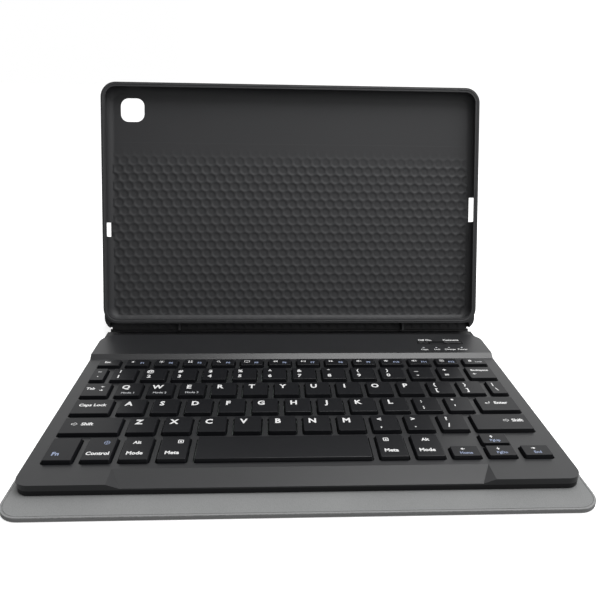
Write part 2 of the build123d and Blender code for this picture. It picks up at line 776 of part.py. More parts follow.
with BuildPart() as power_switch_slider:
    with BuildSketch(keyboard_plane.offset(slider_z)):
        with Locations((slider_x, control_y)):
            RectangleRounded(slider_length, slider_width, slider_corner)
    extrude(amount=recess_depth + slider_proud)
    with BuildSketch(keyboard_plane.offset(hump_roof_z - neck_drop)):
        with Locations((slider_x, control_y)):
            Rectangle(neck_length, neck_width)
    extrude(amount=slider_z - hump_roof_z + neck_drop)
    with BuildSketch(keyboard_plane.offset(slider_z + recess_depth)):
        with Locations((slider_x, control_y)):
            with GridLocations(grip_pitch, 0, 5, 1):
                Rectangle(grip_width, slider_width)
    extrude(amount=slider_proud, mode=Mode.SUBTRACT)
finish(power_switch_slider, "power_switch_slider")

button_neck = button_length - 1 - 2 * control_clearance

with BuildPart() as pair_button:
    with BuildSketch(keyboard_plane.offset(button_z)):
        with Locations((button_x, control_y)):
            RectangleRounded(button_length, slider_width, button_corner)
    extrude(amount=recess_depth - button_travel + button_proud)
    with BuildSketch(keyboard_plane.offset(hump_roof_z - neck_drop / 2)):
        with Locations((button_x, control_y)):
            Rectangle(button_neck, neck_width)
    extrude(amount=button_z - hump_roof_z + neck_drop / 2)
finish(pair_button, "pair_button")

slide_switch = (9.0, 3.4)
press_switch = (4.5, 4.5)

with BuildPart() as switch_bodies:
    with BuildSketch(keyboard_plane.offset(pcb_top)):
        with Locations((slider_x + slider_travel / 2, control_y)):
            Rectangle(*slide_switch)
        with Locations((button_x, control_y)):
            Rectangle(*press_switch)
    extrude(amount=hump_roof_z - switch_gap - pcb_top)
finish(switch_bodies, "switch_bodies")

light_guide = 3.0
guide_drop = 0.8
guide_thickness = 0.6

with BuildPart() as indicator_lenses:
    with BuildSketch(keyboard_plane.offset(hump_roof_z - guide_drop)):
        for i in range(4):
            with Locations((lamp_x + i * lamp_pitch, lamp_y)):
                Circle(lamp_radius)
    extrude(amount=deck_thickness + guide_drop)
    with BuildSketch(keyboard_plane.offset(hump_roof_z - guide_drop)):
        with Locations((lamp_x + 1.5 * lamp_pitch, lamp_y)):
            Rectangle(3 * lamp_pitch + light_guide, light_guide)
    extrude(amount=guide_thickness)
finish(indicator_lenses, "indicator_lenses")

# ================================================================ keycaps
key_bottom = deck_height - key_skirt
key_tall = key_skirt + key_height
key_names = sorted({entry[0] for entry in layout})
hollow_corner = 0.4

for key_name in key_names:
    with BuildPart() as keycap:
        with BuildSketch(keyboard_plane.offset(key_bottom)):
            for node, x, y, width, depth in layout:
                if node == key_name:
                    with Locations((x, y)):
                        RectangleRounded(width, depth, key_corner)
        extrude(amount=key_tall, taper=key_taper)
        with BuildSketch(keyboard_plane.offset(key_bottom)):
            for node, x, y, width, depth in layout:
                if node == key_name:
                    with Locations((x, y)):
                        RectangleRounded(width - 2 * key_side, depth - 2 * key_side, hollow_corner)
        extrude(amount=key_tall - key_roof, taper=key_taper / 2, mode=Mode.SUBTRACT)
    finish(keycap, key_name)

print(f"keyboard {keyboard_width:.1f} x {keyboard_depth:.1f}, cover {cover_width:.1f} x {front_crease:.1f}")
print(f"tray {tray_width:.1f} x {tray_top - tray_start:.1f} x {tray_depth:.1f}, spine {spine_length:.2f}")
print(f"front_y {front_y:.3f}, front crease y {front_y + front_crease:.3f}, z {hinge_z:.3f}")
print(f"rear crease y {front_y + rear_crease:.3f}, flap pivot y {front_y + pivot_s:.3f}, z {pivot_z:.3f}")
print(f"flap turns {90 - lean_angle + math.degrees(flap_slope):.3f} degrees to lie on the tray")
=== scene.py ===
import json
import math

import bmesh
import bpy
from mathutils import Matrix, Vector


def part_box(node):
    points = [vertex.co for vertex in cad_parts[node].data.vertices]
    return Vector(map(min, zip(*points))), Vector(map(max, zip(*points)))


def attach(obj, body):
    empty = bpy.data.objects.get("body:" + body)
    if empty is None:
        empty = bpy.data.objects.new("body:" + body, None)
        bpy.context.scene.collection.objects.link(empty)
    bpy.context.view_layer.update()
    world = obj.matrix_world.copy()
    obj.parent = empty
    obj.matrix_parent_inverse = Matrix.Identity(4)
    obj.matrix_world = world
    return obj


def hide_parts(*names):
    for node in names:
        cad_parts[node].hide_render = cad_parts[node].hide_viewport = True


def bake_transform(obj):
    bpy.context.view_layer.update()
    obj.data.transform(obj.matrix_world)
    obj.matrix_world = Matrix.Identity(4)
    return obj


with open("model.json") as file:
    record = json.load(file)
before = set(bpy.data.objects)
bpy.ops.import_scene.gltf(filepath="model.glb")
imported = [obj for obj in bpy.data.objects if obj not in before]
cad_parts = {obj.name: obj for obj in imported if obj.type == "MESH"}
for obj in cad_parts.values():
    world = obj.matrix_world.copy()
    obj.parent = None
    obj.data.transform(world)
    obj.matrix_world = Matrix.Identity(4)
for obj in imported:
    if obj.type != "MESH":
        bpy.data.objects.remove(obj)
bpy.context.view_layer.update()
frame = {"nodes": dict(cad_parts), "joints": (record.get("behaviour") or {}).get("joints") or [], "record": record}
nodes = frame["nodes"]
scene = bpy.context.scene
mm = 0.001
print("frame loaded")

# where the joints and the tablet's seat are
joints = {joint["name"]: joint for joint in frame["joints"]}
mounts = {mount["name"]: mount for mount in frame["record"]["mounts"]}


def jointPoint(name):
    return Vector(joints[name]["pos_m"])


frontCrease = jointPoint("spine_fold")
rearCrease = jointPoint("tray_fold")
flapPivot = jointPoint("kickstand_fold")
seatNormal = Vector(mounts["tablet_seat"]["axis"]).normalized()  # out of the tray's floor
seatUp = Vector((0, -seatNormal.z, seatNormal.y)) * -1.0  # up the tray's floor
trayTurn = Matrix((Vector((1, 0, 0)), seatUp, seatNormal)).transposed().to_4x4()
trayPlace = Matrix.Translation(rearCrease) @ trayTurn


# ---- camera
cameraView = {
    "place": (-13.45, -305.58, 170.28),
    "yaw": 2.898,
    "pitch": 21.473,
    "roll": 1.104,
    "lens": 34.896,
}


def makeCamera(view):
    yaw, pitch, roll = (math.radians(view[key]) for key in ("yaw", "pitch", "roll"))
    forward = Vector((math.sin(yaw) * math.cos(pitch), math.cos(yaw) * math.cos(pitch), -math.sin(pitch)))
    right = Vector((math.cos(yaw), -math.sin(yaw), 0))
    up = right.cross(forward)
    turnedRight = right * math.cos(roll) + up * math.sin(roll)
    turnedUp = up * math.cos(roll) - right * math.sin(roll)
    data = bpy.data.cameras.new("case_camera")
    data.lens = view["lens"]
    data.sensor_width = 36
    data.clip_start = 0.01
    camera = bpy.data.objects.new("case_camera", data)
    scene.collection.objects.link(camera)
    turn = Matrix((turnedRight, turnedUp, -forward)).transposed().to_4x4()
    camera.matrix_world = Matrix.Translation(Vector(view["place"]) * mm) @ turn
    scene.camera = camera


makeCamera(cameraView)

# ---- light and floor
studio = {
    "skyFront": 0.13,
    "skyBack": 1.05,
    "skySide": 0.3,
    "paperSeen": 0.92,
    "paperLight": 0.3,
    "paperGlow": 0.6,
    "floorDrop": 0.25,
    "lights": [
        {
            "name": "top_light",
            "place": (0.3, -0.08, 1.05),
            "aim": (0, -0.01, 0.03),
            "size": 0.8,
            "power": 8.0,
        },
        {
            "name": "front_light",
            "place": (0.3, -0.9, 0.8),
            "aim": (0, 0, 0.08),
            "size": 0.8,
            "power": 1.6,
        },
    ],
}


def newMaterial(name):
    material = bpy.data.materials.new(name)
    material.use_nodes = True
    tree = material.node_tree
    return material, tree, tree.nodes["Principled BSDF"]


def makeStudio(values):
    world = bpy.data.worlds.new("soft_studio")
    scene.world = world
    world.use_nodes = True
    tree = world.node_tree
    sky = tree.nodes["Background"]
    sky.inputs["Color"].default_value = (1, 1, 1, 1)
    facing = tree.nodes.new("ShaderNodeSeparateXYZ")
    tree.links.new(tree.nodes.new("ShaderNodeTexCoord").outputs["Generated"], facing.inputs[0])
    depth = tree.nodes.new("ShaderNodeMapRange")
    tree.links.new(facing.outputs["Y"], depth.inputs["Value"])
    for label, amount in (
        ("From Min", -1),
        ("From Max", 1),
        ("To Min", values["skyFront"]),
        ("To Max", values["skyBack"]),
    ):
        depth.inputs[label].default_value = amount
    side = tree.nodes.new("ShaderNodeMath")
    side.operation = "MULTIPLY_ADD"
    tree.links.new(facing.outputs["X"], side.inputs[0])
    side.inputs[1].default_value = values["skySide"]
    tree.links.new(depth.outputs["Result"], side.inputs[2])
    seen = tree.nodes.new("ShaderNodeMath")  # the backdrop itself stays white
    seen.operation = "MAXIMUM"
    tree.links.new(side.outputs[0], seen.inputs[0])
    tree.links.new(tree.nodes.new("ShaderNodeLightPath").outputs["Is Camera Ray"], seen.inputs[1])
    tree.links.new(seen.outputs[0], sky.inputs["Strength"])
    for lamp in values["lights"]:
        data = bpy.data.lights.new(lamp["name"], "AREA")
        data.shape = "DISK"
        data.size = lamp["size"]
        data.energy = lamp["power"]
        light = bpy.data.objects.new(lamp["name"], data)
        scene.collection.objects.link(light)
        aim = Vector(lamp["aim"]) - Vector(lamp["place"])
        turn = aim.to_track_quat("-Z", "Y").to_matrix().to_4x4()
        light.matrix_world = Matrix.Translation(lamp["place"]) @ turn
    mesh = bpy.data.meshes.new("studio_floor")
    reach = 6.0
    z = -values["floorDrop"] * mm
    mesh.from_pydata(
        [(-reach, -reach, z), (reach, -reach, z), (reach, reach, z), (-reach, reach, z)],
        [],
        [(0, 1, 2, 3)],
    )
    floor = bpy.data.objects.new("studio_floor", mesh)
    scene.collection.objects.link(floor)
    material, tree, shader = newMaterial("studio_paper")
    paper = tree.nodes.new("ShaderNodeMapRange")
    tree.links.new(tree.nodes.new("ShaderNodeLightPath").outputs["Is Camera Ray"], paper.inputs["Value"])
    paper.inputs["To Min"].default_value = values["paperLight"]
    paper.inputs["To Max"].default_value = values["paperSeen"]
    tree.links.new(paper.outputs["Result"], shader.inputs["Base Color"])
    glow = tree.nodes.new("ShaderNodeMath")
    glow.operation = "MULTIPLY"
    tree.links.new(tree.nodes["Light Path"].outputs["Is Camera Ray"], glow.inputs[0])
    glow.inputs[1].default_value = values["paperGlow"]
    shader.inputs["Emission Color"].default_value = (1, 1, 1, 1)
    tree.links.new(glow.outputs[0], shader.inputs["Emission Strength"])
    shader.inputs["Roughness"].default_value = 0.9
    shader.inputs["Specular IOR Level"].default_value = 0.0
    mesh.materials.append(material)
    scene.view_settings.view_transform = "Standard"


makeStudio(studio)
print("camera, light and floor ready")


# ---- shader groups
def newGroup(name, inputs, outputs):
    group = bpy.data.node_groups.new(name, "ShaderNodeTree")
    for label, value in inputs:
        socket = group.interface.new_socket(label, in_out="INPUT", socket_type="NodeSocketFloat")
        socket.default_value = value
    for label in outputs:
        group.interface.new_socket(label, in_out="OUTPUT", socket_type="NodeSocketFloat")
    return group, group.nodes.new("NodeGroupInput"), group.nodes.new("NodeGroupOutput")


def addMath(tree, operation, first, second=0.5, clamp=False):
    node = tree.nodes.new("ShaderNodeMath")
    node.operation = operation
    node.use_clamp = clamp
    for socket, value in zip(node.inputs, (first, second)):
        if isinstance(value, bpy.types.NodeSocket):
            tree.links.new(value, socket)
        else:
            socket.default_value = value
    return node.outputs[0]


def addNoise(tree, scale, detail=3.0, rough=0.55, vector=None):
    node = tree.nodes.new("ShaderNodeTexNoise")
    node.inputs["Detail"].default_value = detail
    node.inputs["Roughness"].default_value = rough
    tree.links.new(
        vector or tree.nodes.new("ShaderNodeTexCoord").outputs["Object"],
        node.inputs["Vector"],
    )
    if isinstance(scale, bpy.types.NodeSocket):
        tree.links.new(scale, node.inputs["Scale"])
    else:
        node.inputs["Scale"].default_value = scale
    return node.outputs["Fac"]


def addRange(tree, value, low, high, toLow, toHigh):
    node = tree.nodes.new("ShaderNodeMapRange")
    tree.links.new(value, node.inputs["Value"])
    for label, amount in (("From Min", low), ("From Max", high), ("To Min", toLow), ("To Max", toHigh)):
        if isinstance(amount, bpy.types.NodeSocket):
            tree.links.new(amount, node.inputs[label])
        else:
            node.inputs[label].default_value = amount
    return node.outputs["Result"]


def makeEdgeWear():
    group, given, result = newGroup("edge_wear", [("Strength", 1.0), ("Patches", 900.0)], ["Mask"])
    rounded = group.nodes.new("ShaderNodeAttribute")
    rounded.attribute_name = "rounded_edge"
    patches = addRange(group, addNoise(group, given.outputs["Patches"], 4.0), 0.4, 0.65, 0.2, 1.0)
    mask = addMath(group, "MULTIPLY", rounded.outputs["Fac"], patches)
    group.links.new(
        addMath(group, "MULTIPLY", mask, given.outputs["Strength"], True),
        result.inputs["Mask"],
    )
    return group


def makeMouldGrain():
    group, given, result = newGroup(
        "mould_grain",
        [("Scale", 3500.0), ("Cloud", 14.0)],
        ["Height", "Tone"],
    )
    fine = addNoise(group, given.outputs["Scale"], 2.0, 0.6)
    group.links.new(fine, result.inputs["Height"])
    cloud = addNoise(group, given.outputs["Cloud"], 3.0)
    group.links.new(
        addMath(
            group,
            "ADD",
            addMath(group, "MULTIPLY", fine, 0.35),
            addMath(group, "MULTIPLY", cloud, 0.65),
        ),
        result.inputs["Tone"],
    )
    return group


def makeHideGrain():
    group, given, result = newGroup("hide_grain", [("Scale", 1100.0), ("Depth", 1.0)], ["Height", "Tone"])
    place = group.nodes.new("ShaderNodeTexCoord").outputs["Object"]
    cells = group.nodes.new("ShaderNodeTexVoronoi")
    cells.feature = "DISTANCE_TO_EDGE"
    group.links.new(place, cells.inputs["Vector"])
    group.links.new(given.outputs["Scale"], cells.inputs["Scale"])
    pebble = addRange(group, cells.outputs["Distance"], 0.0, 0.28, 0.0, 1.0)
    creases = addNoise(group, 420.0, 4.0, 0.6, place)
    height = addMath(
        group,
        "ADD",
        addMath(group, "MULTIPLY", pebble, 0.7),
        addMath(group, "MULTIPLY", creases, 0.5),
    )
    group.links.new(addMath(group, "MULTIPLY", height, given.outputs["Depth"]), result.inputs["Height"])
    group.links.new(
        addMath(
            group,
            "ADD",
            addMath(group, "MULTIPLY", pebble, 0.4),
            addMath(group, "MULTIPLY", creases, 0.6),
        ),
        result.inputs["Tone"],
    )
    return group


def makeNap():
    group, given, result = newGroup("fibre_nap", [("Scale", 2600.0), ("Sweep", 35.0)], ["Height", "Tone"])
    place = group.nodes.new("ShaderNodeTexCoord").outputs["Object"]
    stretch = group.nodes.new("ShaderNodeMapping")
    stretch.inputs["Scale"].default_value = (1.0, 0.45, 1.0)
    group.links.new(place, stretch.inputs["Vector"])
    fibres = addNoise(group, given.outputs["Scale"], 3.0, 0.7, stretch.outputs["Vector"])
    sweep = addNoise(group, given.outputs["Sweep"], 2.0, 0.5, place)
    group.links.new(fibres, result.inputs["Height"])
    group.links.new(
        addMath(
            group,
            "ADD",
            addMath(group, "MULTIPLY", fibres, 0.6),
            addMath(group, "MULTIPLY", sweep, 0.4),
        ),
        result.inputs["Tone"],
    )
    return group


def makeDust():
    group, given, result = newGroup("settled_dust", [("Amount", 0.3)], ["Mask"])
    facing = group.nodes.new("ShaderNodeSeparateXYZ")
    group.links.new(group.nodes.new("ShaderNodeNewGeometry").outputs["Normal"], facing.inputs[0])
    upward = addRange(group, facing.outputs["Z"], 0.5, 1.0, 0.0, 1.0)
    specks = addRange(group, addNoise(group, 160.0, 6.0, 0.7), 0.5, 0.8, 0.0, 1.0)
    dusty = addMath(group, "MULTIPLY", upward, specks)
    group.links.new(
        addMath(group, "MULTIPLY", dusty, given.outputs["Amount"], True),
        result.inputs["Mask"],
    )
    return group


edgeWear = makeEdgeWear()
mouldGrain = makeMouldGrain()
hideGrain = makeHideGrain()
fibreNap = makeNap()
settledDust = makeDust()


def useGroup(tree, group, **values):
    node = tree.nodes.new("ShaderNodeGroup")
    node.node_tree = group
    for label, value in values.items():
        node.inputs[label].default_value = value
    return node.outputs


def mixColour(tree, amount, first, second):
    node = tree.nodes.new("ShaderNodeMix")
    node.data_type = "RGBA"
    tree.links.new(amount, node.inputs[0])
    for socket, value in ((node.inputs[6], first), (node.inputs[7], second)):
        if isinstance(value, bpy.types.NodeSocket):
            tree.links.new(value, socket)
        else:
            socket.default_value = (*value, 1)
    return node.outputs[2]


def addBump(tree, shader, height, strength, distance):
    node = tree.nodes.new("ShaderNodeBump")
    node.inputs["Strength"].default_value = strength
    node.inputs["Distance"].default_value = distance
    tree.links.new(height, node.inputs["Height"])
    tree.links.new(node.outputs["Normal"], shader.inputs["Normal"])


finishes = {}


def moulded(
    name,
    dark,
    light,
    worn,
    rough,
    grain=6500.0,
    bump=0.25,
    wear=0.6,
    dust=0.12,
    metal=0.0,
    gloss=0.5,
    uneven=0.06,
):
    material, tree, shader = newMaterial(name)
    texture = useGroup(tree, mouldGrain, Scale=grain)
    colour = mixColour(tree, texture["Tone"], dark, light)
    colour = mixColour(tree, useGroup(tree, edgeWear, Strength=wear)["Mask"], colour, worn)
    colour = mixColour(tree, useGroup(tree, settledDust, Amount=dust)["Mask"], colour, (0.35, 0.34, 0.33))
    tree.links.new(colour, shader.inputs["Base Color"])
    tree.links.new(
        addRange(tree, texture["Tone"], 0.3, 0.7, rough - uneven, rough + uneven),
        shader.inputs["Roughness"],
    )
    shader.inputs["Metallic"].default_value = metal
    shader.inputs["Specular IOR Level"].default_value = gloss
    addBump(tree, shader, texture["Height"], bump, 0.00008)
    finishes[name] = material
    return material


def hide(name, dark, light, worn, rough, edging=None):
    material, tree, shader = newMaterial(name)
    texture = useGroup(tree, hideGrain)
    colour = mixColour(tree, texture["Tone"], dark, light)
    if edging:  # the turned edge is coloured like the lining
        facing = tree.nodes.new("ShaderNodeSeparateXYZ")
        tree.links.new(tree.nodes.new("ShaderNodeNewGeometry").outputs["Normal"], facing.inputs[0])
        colour = mixColour(
            tree,
            addRange(tree, facing.outputs["Z"], -0.75, -0.6, 0.0, 1.0),
            colour,
            edging,
        )
    colour = mixColour(tree, useGroup(tree, edgeWear, Strength=0.5)["Mask"], colour, worn)
    tree.links.new(colour, shader.inputs["Base Color"])
    tree.links.new(
        addRange(tree, texture["Tone"], 0.3, 0.8, rough + 0.08, rough - 0.05),
        shader.inputs["Roughness"],
    )
    addBump(tree, shader, texture["Height"], 0.5, 0.00015)
    finishes[name] = material
    return material


def napped(name, dark, light, rough=0.95):
    material, tree, shader = newMaterial(name)
    texture = useGroup(tree, fibreNap)
    tree.links.new(mixColour(tree, texture["Tone"], dark, light), shader.inputs["Base Color"])
    shader.inputs["Roughness"].default_value = rough
    shader.inputs["Specular IOR Level"].default_value = 0.15
    shader.inputs["Sheen Weight"].default_value = 0.25
    shader.inputs["Sheen Roughness"].default_value = 0.5
    addBump(tree, shader, texture["Height"], 0.5, 0.0002)
    finishes[name] = material
    return material


trayRubber = moulded(
    "tray_rubber",
    (0.034, 0.0345, 0.0365),
    (0.046, 0.0465, 0.049),
    (0.09, 0.09, 0.09),
    0.55,
    bump=0.12,
    gloss=0.4,
)
deckPlastic = moulded(
    "deck_plastic",
    (0.012, 0.0125, 0.0138),
    (0.016, 0.0165, 0.0182),
    (0.05, 0.05, 0.055),
    0.34,
    bump=0.01,
    dust=0.01,
    gloss=0.66,
    uneven=0.015,
)
basePlastic = moulded(
    "base_plastic",
    (0.005, 0.005, 0.006),
    (0.008, 0.008, 0.009),
    (0.03, 0.03, 0.03),
    0.5,
    bump=0.1,
    gloss=0.3,
)
capPlastic = moulded(
    "cap_plastic",
    (0.006, 0.0063, 0.0076),
    (0.009, 0.0094, 0.0112),
    (0.015, 0.015, 0.018),
    0.32,
    bump=0.02,
    dust=0.005,
    gloss=0.3,
    uneven=0.03,
)
blackHide = hide("black_hide", (0.012, 0.012, 0.013), (0.030, 0.030, 0.032), (0.06, 0.06, 0.06), 0.5)
coverHide = hide(
    "cover_hide",
    (0.012, 0.012, 0.013),
    (0.030, 0.030, 0.032),
    (0.06, 0.06, 0.06),
    0.6,
    edging=(0.24, 0.243, 0.243),
)
greyNap = napped("grey_nap", (0.175, 0.179, 0.179), (0.29, 0.294, 0.294))
fibreBoard = moulded(
    "fibre_board",
    (0.25, 0.23, 0.20),
    (0.4, 0.37, 0.33),
    (0.5, 0.47, 0.42),
    0.85,
    grain=1800.0,
)
plainSteel = moulded(
    "plain_steel",
    (0.45, 0.45, 0.46),
    (0.6, 0.6, 0.62),
    (0.75, 0.75, 0.76),
    0.35,
    metal=1.0,
    dust=0.0,
)
magnetMetal = moulded(
    "magnet_metal",
    (0.5, 0.5, 0.52),
    (0.65, 0.65, 0.67),
    (0.8, 0.8, 0.8),
    0.22,
    metal=1.0,
    dust=0.0,
)
bondingFoam = moulded(
    "bonding_foam",
    (0.02, 0.02, 0.02),
    (0.06, 0.06, 0.06),
    (0.08, 0.08, 0.08),
    0.9,
    grain=2200.0,
)
softRubber = moulded("soft_rubber", (0.015, 0.015, 0.015), (0.03, 0.03, 0.03), (0.08, 0.08, 0.08), 0.8)
clearFilm = moulded("clear_film", (0.25, 0.3, 0.28), (0.4, 0.45, 0.42), (0.6, 0.6, 0.6), 0.3)
linkPlastic = moulded("link_plastic", (0.5, 0.5, 0.48), (0.62, 0.62, 0.6), (0.75, 0.75, 0.72), 0.45)
boardGreen = moulded("board_green", (0.01, 0.06, 0.03), (0.02, 0.10, 0.05), (0.1, 0.2, 0.1), 0.4)
cellSilver = moulded(
    "cell_silver",
    (0.35, 0.36, 0.38),
    (0.5, 0.5, 0.52),
    (0.7, 0.7, 0.7),
    0.35,
    metal=0.6,
)
portSteel = moulded("port_steel", (0.35, 0.35, 0.36), (0.5, 0.5, 0.5), (0.7, 0.7, 0.7), 0.3, metal=1.0)
lampLens = moulded("lamp_lens", (0.45, 0.46, 0.48), (0.6, 0.61, 0.63), (0.8, 0.8, 0.8), 0.2, dust=0.0)
switchPlastic = moulded(
    "switch_plastic",
    (0.012, 0.012, 0.013),
    (0.02, 0.02, 0.022),
    (0.08, 0.08, 0.08),
    0.4,
)
legendInk = moulded(
    "legend_ink",
    (0.72, 0.72, 0.72),
    (0.86, 0.86, 0.86),
    (0.9, 0.9, 0.9),
    0.5,
    bump=0.05,
    dust=0.0,
)
blueInk = moulded(
    "blue_ink",
    (0.25, 0.30, 0.44),
    (0.33, 0.39, 0.55),
    (0.4, 0.5, 0.7),
    0.5,
    bump=0.05,
    dust=0.0,
)
# near-black ink for the outline round the switch recess: painted shade where the recess walls fall into shadow
recessShadeInk = moulded(
    "recess_shade_ink",
    (0.002, 0.002, 0.002),
    (0.004, 0.004, 0.004),
    (0.01, 0.01, 0.01),
    0.6,
    bump=0.05,
    dust=0.0,
    gloss=0.2,
)
greyInk = moulded(
    "grey_ink",
    (0.45, 0.46, 0.48),
    (0.58, 0.59, 0.61),
    (0.7, 0.7, 0.7),
    0.5,
    bump=0.05,
    dust=0.0,
)
seamThread = napped("seam_thread", (0.030, 0.030, 0.032), (0.055, 0.055, 0.058), 0.7)
print("materials ready")


# ---- mesh helpers
def newPiece(name, mesh, material=None, body=None, replaced=()):
    piece = bpy.data.objects.new(name, mesh)
    scene.collection.objects.link(piece)
    if material:
        mesh.materials.clear()
        mesh.materials.append(material)
    if body:
        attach(piece, body)
    if replaced:
        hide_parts(*replaced)
    return piece


def evaluated(piece):
    graph = bpy.context.evaluated_depsgraph_get()
    return bpy.data.meshes.new_from_object(piece.evaluated_get(graph))


def evenNormals(mesh, flatArea=12e-6):  # broad faces stay flat and the rounded edges blend into them
    sums = [Vector() for _ in mesh.vertices]
    for polygon in mesh.polygons:
        for i in polygon.vertices:
            sums[i] += polygon.normal * polygon.area
    normals = [Vector((0, 0, 1))] * len(mesh.loops)
    for polygon in mesh.polygons:
        for corner in polygon.loop_indices:
            soft = sums[mesh.loops[corner].vertex_index].normalized()
            keep = polygon.area > flatArea or soft.dot(polygon.normal) < 0.5
            normals[corner] = polygon.normal.copy() if keep else soft
    mesh.normals_split_custom_set(normals)


def softened(nodeName, name, width, material, body, segments=2, angle=35.0, bold=None, fine=0.3):
    mesh = nodes[nodeName].data.copy()
    mesh.materials.clear()
    for _ in range(2):  # the second place marks the rounded edges
        mesh.materials.append(material)
    work = bmesh.new()
    work.from_mesh(mesh)
    bmesh.ops.remove_doubles(work, verts=work.verts, dist=1e-6)
    bmesh.ops.dissolve_limit(work, angle_limit=math.radians(0.6), verts=work.verts, edges=work.edges)
    weight = work.edges.layers.float.new("bevel_weight_edge")
    for edge in work.edges:
        if len(edge.link_faces) == 2 and edge.calc_face_angle(0) > math.radians(angle):
            middle = (edge.verts[0].co + edge.verts[1].co) / 2
            edge[weight] = 1.0 if bold is None or bold(middle) else fine / width
    work.to_mesh(mesh)
    work.free()
    draft = bpy.data.objects.new(name + "_draft", mesh)
    scene.collection.objects.link(draft)
    for polygon in mesh.polygons:
        polygon.use_smooth = True
        polygon.material_index = 0
    bevel = draft.modifiers.new("round_edges", "BEVEL")
    bevel.width = width * mm
    bevel.segments = segments
    bevel.limit_method = "WEIGHT"
    bevel.use_clamp_overlap = True
    bevel.miter_outer = "MITER_SHARP"
    bevel.material = 1
    finished = evaluated(draft)
    bpy.data.objects.remove(draft)
    marks = finished.attributes.new("rounded_edge", "FLOAT", "FACE")
    marks.data.foreach_set("value", [float(polygon.material_index) for polygon in finished.polygons])
    for polygon in finished.polygons:
        polygon.material_index = 0
    evenNormals(finished)
    return newPiece(name, finished, material, body, (nodeName,))


def dress(nodeName, material):
    mesh = nodes[nodeName].data
    mesh.materials.clear()
    mesh.materials.append(material)


def keyBoxes(nodeName):
    work = bmesh.new()
    work.from_mesh(nodes[nodeName].data)
    bmesh.ops.remove_doubles(work, verts=work.verts, dist=1e-6)
    waiting = set(work.verts)
    boxes = []
    while waiting:
        island, edge = set(), [waiting.pop()]
        while edge:
            vertex = edge.pop()
            island.add(vertex)
            for link in vertex.link_edges:
                other = link.other_vert(vertex)
                if other in waiting:
                    waiting.remove(other)
                    edge.append(other)
        top = max(v.co.z for v in island)
        rim = [v.co for v in island if v.co.z > top - 1e-5]
        low = Vector((min(p.x for p in rim), min(p.y for p in rim), top))
        high = Vector((max(p.x for p in rim), max(p.y for p in rim), top))
        boxes.append((low, high))
    work.free()
    return sorted(boxes, key=lambda pair: pair[0].x)


# ---- plain inner parts keep their CAD shape
innerFinishes = {
    "front_cover_board": fibreBoard,
    "spine_board": fibreBoard,
    "back_board": fibreBoard,
    "kickstand_board": fibreBoard,
    "keyboard_magnets": magnetMetal,
    "kickstand_magnets": magnetMetal,
    "tray_keepers": plainSteel,
    "tray_bonding_pad": bondingFoam,
    "key_support_plate": plainSteel,
    "membrane_sheet": clearFilm,
    "rubber_domes": softRubber,
    "scissor_links": linkPlastic,
    "circuit_board": boardGreen,
    "battery_cell": cellSilver,
    "charging_port": portSteel,
    "switch_bodies": switchPlastic,
    "shell_screws": plainSteel,
    "rubber_feet": softRubber,
}
for nodeName, finish in innerFinishes.items():
    dress(nodeName, finish)

# ---- leather panels and lining
softened("front_cover_skin", "front_cover_hide", 0.3, coverHide, "front_cover")
softened("spine_skin", "spine_hide", 0.3, blackHide, "spine")
softened("back_skin", "back_hide", 0.3, blackHide, "tray")
softened("kickstand_skin", "kickstand_hide", 0.3, blackHide, "kickstand")
softened("front_cover_lining", "front_cover_suede", 0.25, greyNap, "front_cover")
softened("spine_lining", "spine_inner_hide", 0.25, blackHide, "spine")
softened("kickstand_lining", "kickstand_suede", 0.2, greyNap, "kickstand")
print("panels ready")

# ---- creases, soft strips at the joints
creases = {
    "skinThickness": 0.6,
    "skinReach": 1.3,
    "innerThickness": 0.4,
    "innerReach": 2.8,
    "innerTop": 1.85,
    "innerDip": 0.7,
    "steps": 10,
}


def stripMesh(name, path, thickness, halfWidth, steps):
    count = len(path) - 1  # a smooth curve through its control points
    centres = []
    for i in range(steps + 1):
        t = i / steps
        centres.append(
            sum(
                (point * math.comb(count, k) * t**k * (1 - t) ** (count - k) for k, point in enumerate(path)),
                Vector((0, 0)),
            )
        )
    upper, lower = [], []
    for i, point in enumerate(centres):
        along = centres[min(i + 1, steps)] - centres[max(i - 1, 0)]
        across = Vector((-along.y, along.x)).normalized() * thickness / 2
        upper.append(point + across)
        lower.append(point - across)
    ring = upper + lower[::-1]
    slices = [-halfWidth, -halfWidth / 3, halfWidth / 3, halfWidth]
    work = bmesh.new()
    rows = [[work.verts.new((x, point.x, point.y)) for point in ring] for x in slices]
    for near, far in zip(rows, rows[1:]):
        for i in range(len(ring)):
            k = (i + 1) % len(ring)
            work.faces.new((near[i], near[k], far[k], far[i]))
    for row in (rows[0], rows[-1]):
        for i in range(steps):
            work.faces.new((row[i], row[i + 1], row[-2 - i], row[-1 - i]))
    bmesh.ops.recalc_face_normals(work, faces=work.faces)
    mesh = bpy.data.meshes.new(name)
    work.to_mesh(mesh)
    work.free()
    for polygon in mesh.polygons:
        polygon.use_smooth = True
    mesh.set_sharp_from_angle(angle=math.radians(50))
    return mesh


def flat(vector):
    return Vector((vector.y, vector.z))


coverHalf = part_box("front_cover_skin")[1].x - 0.4 * mm
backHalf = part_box("back_skin")[1].x - 0.4 * mm
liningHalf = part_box("spine_lining")[1].x - 0.3 * mm
level, upright = Vector((1, 0)), flat(seatUp)
outward = flat(seatNormal)
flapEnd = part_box("kickstand_skin")[0]
flapLow = Vector((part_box("kickstand_skin")[1].y, flapEnd.z)) - flat(flapPivot)
flapWay = flapLow.normalized()


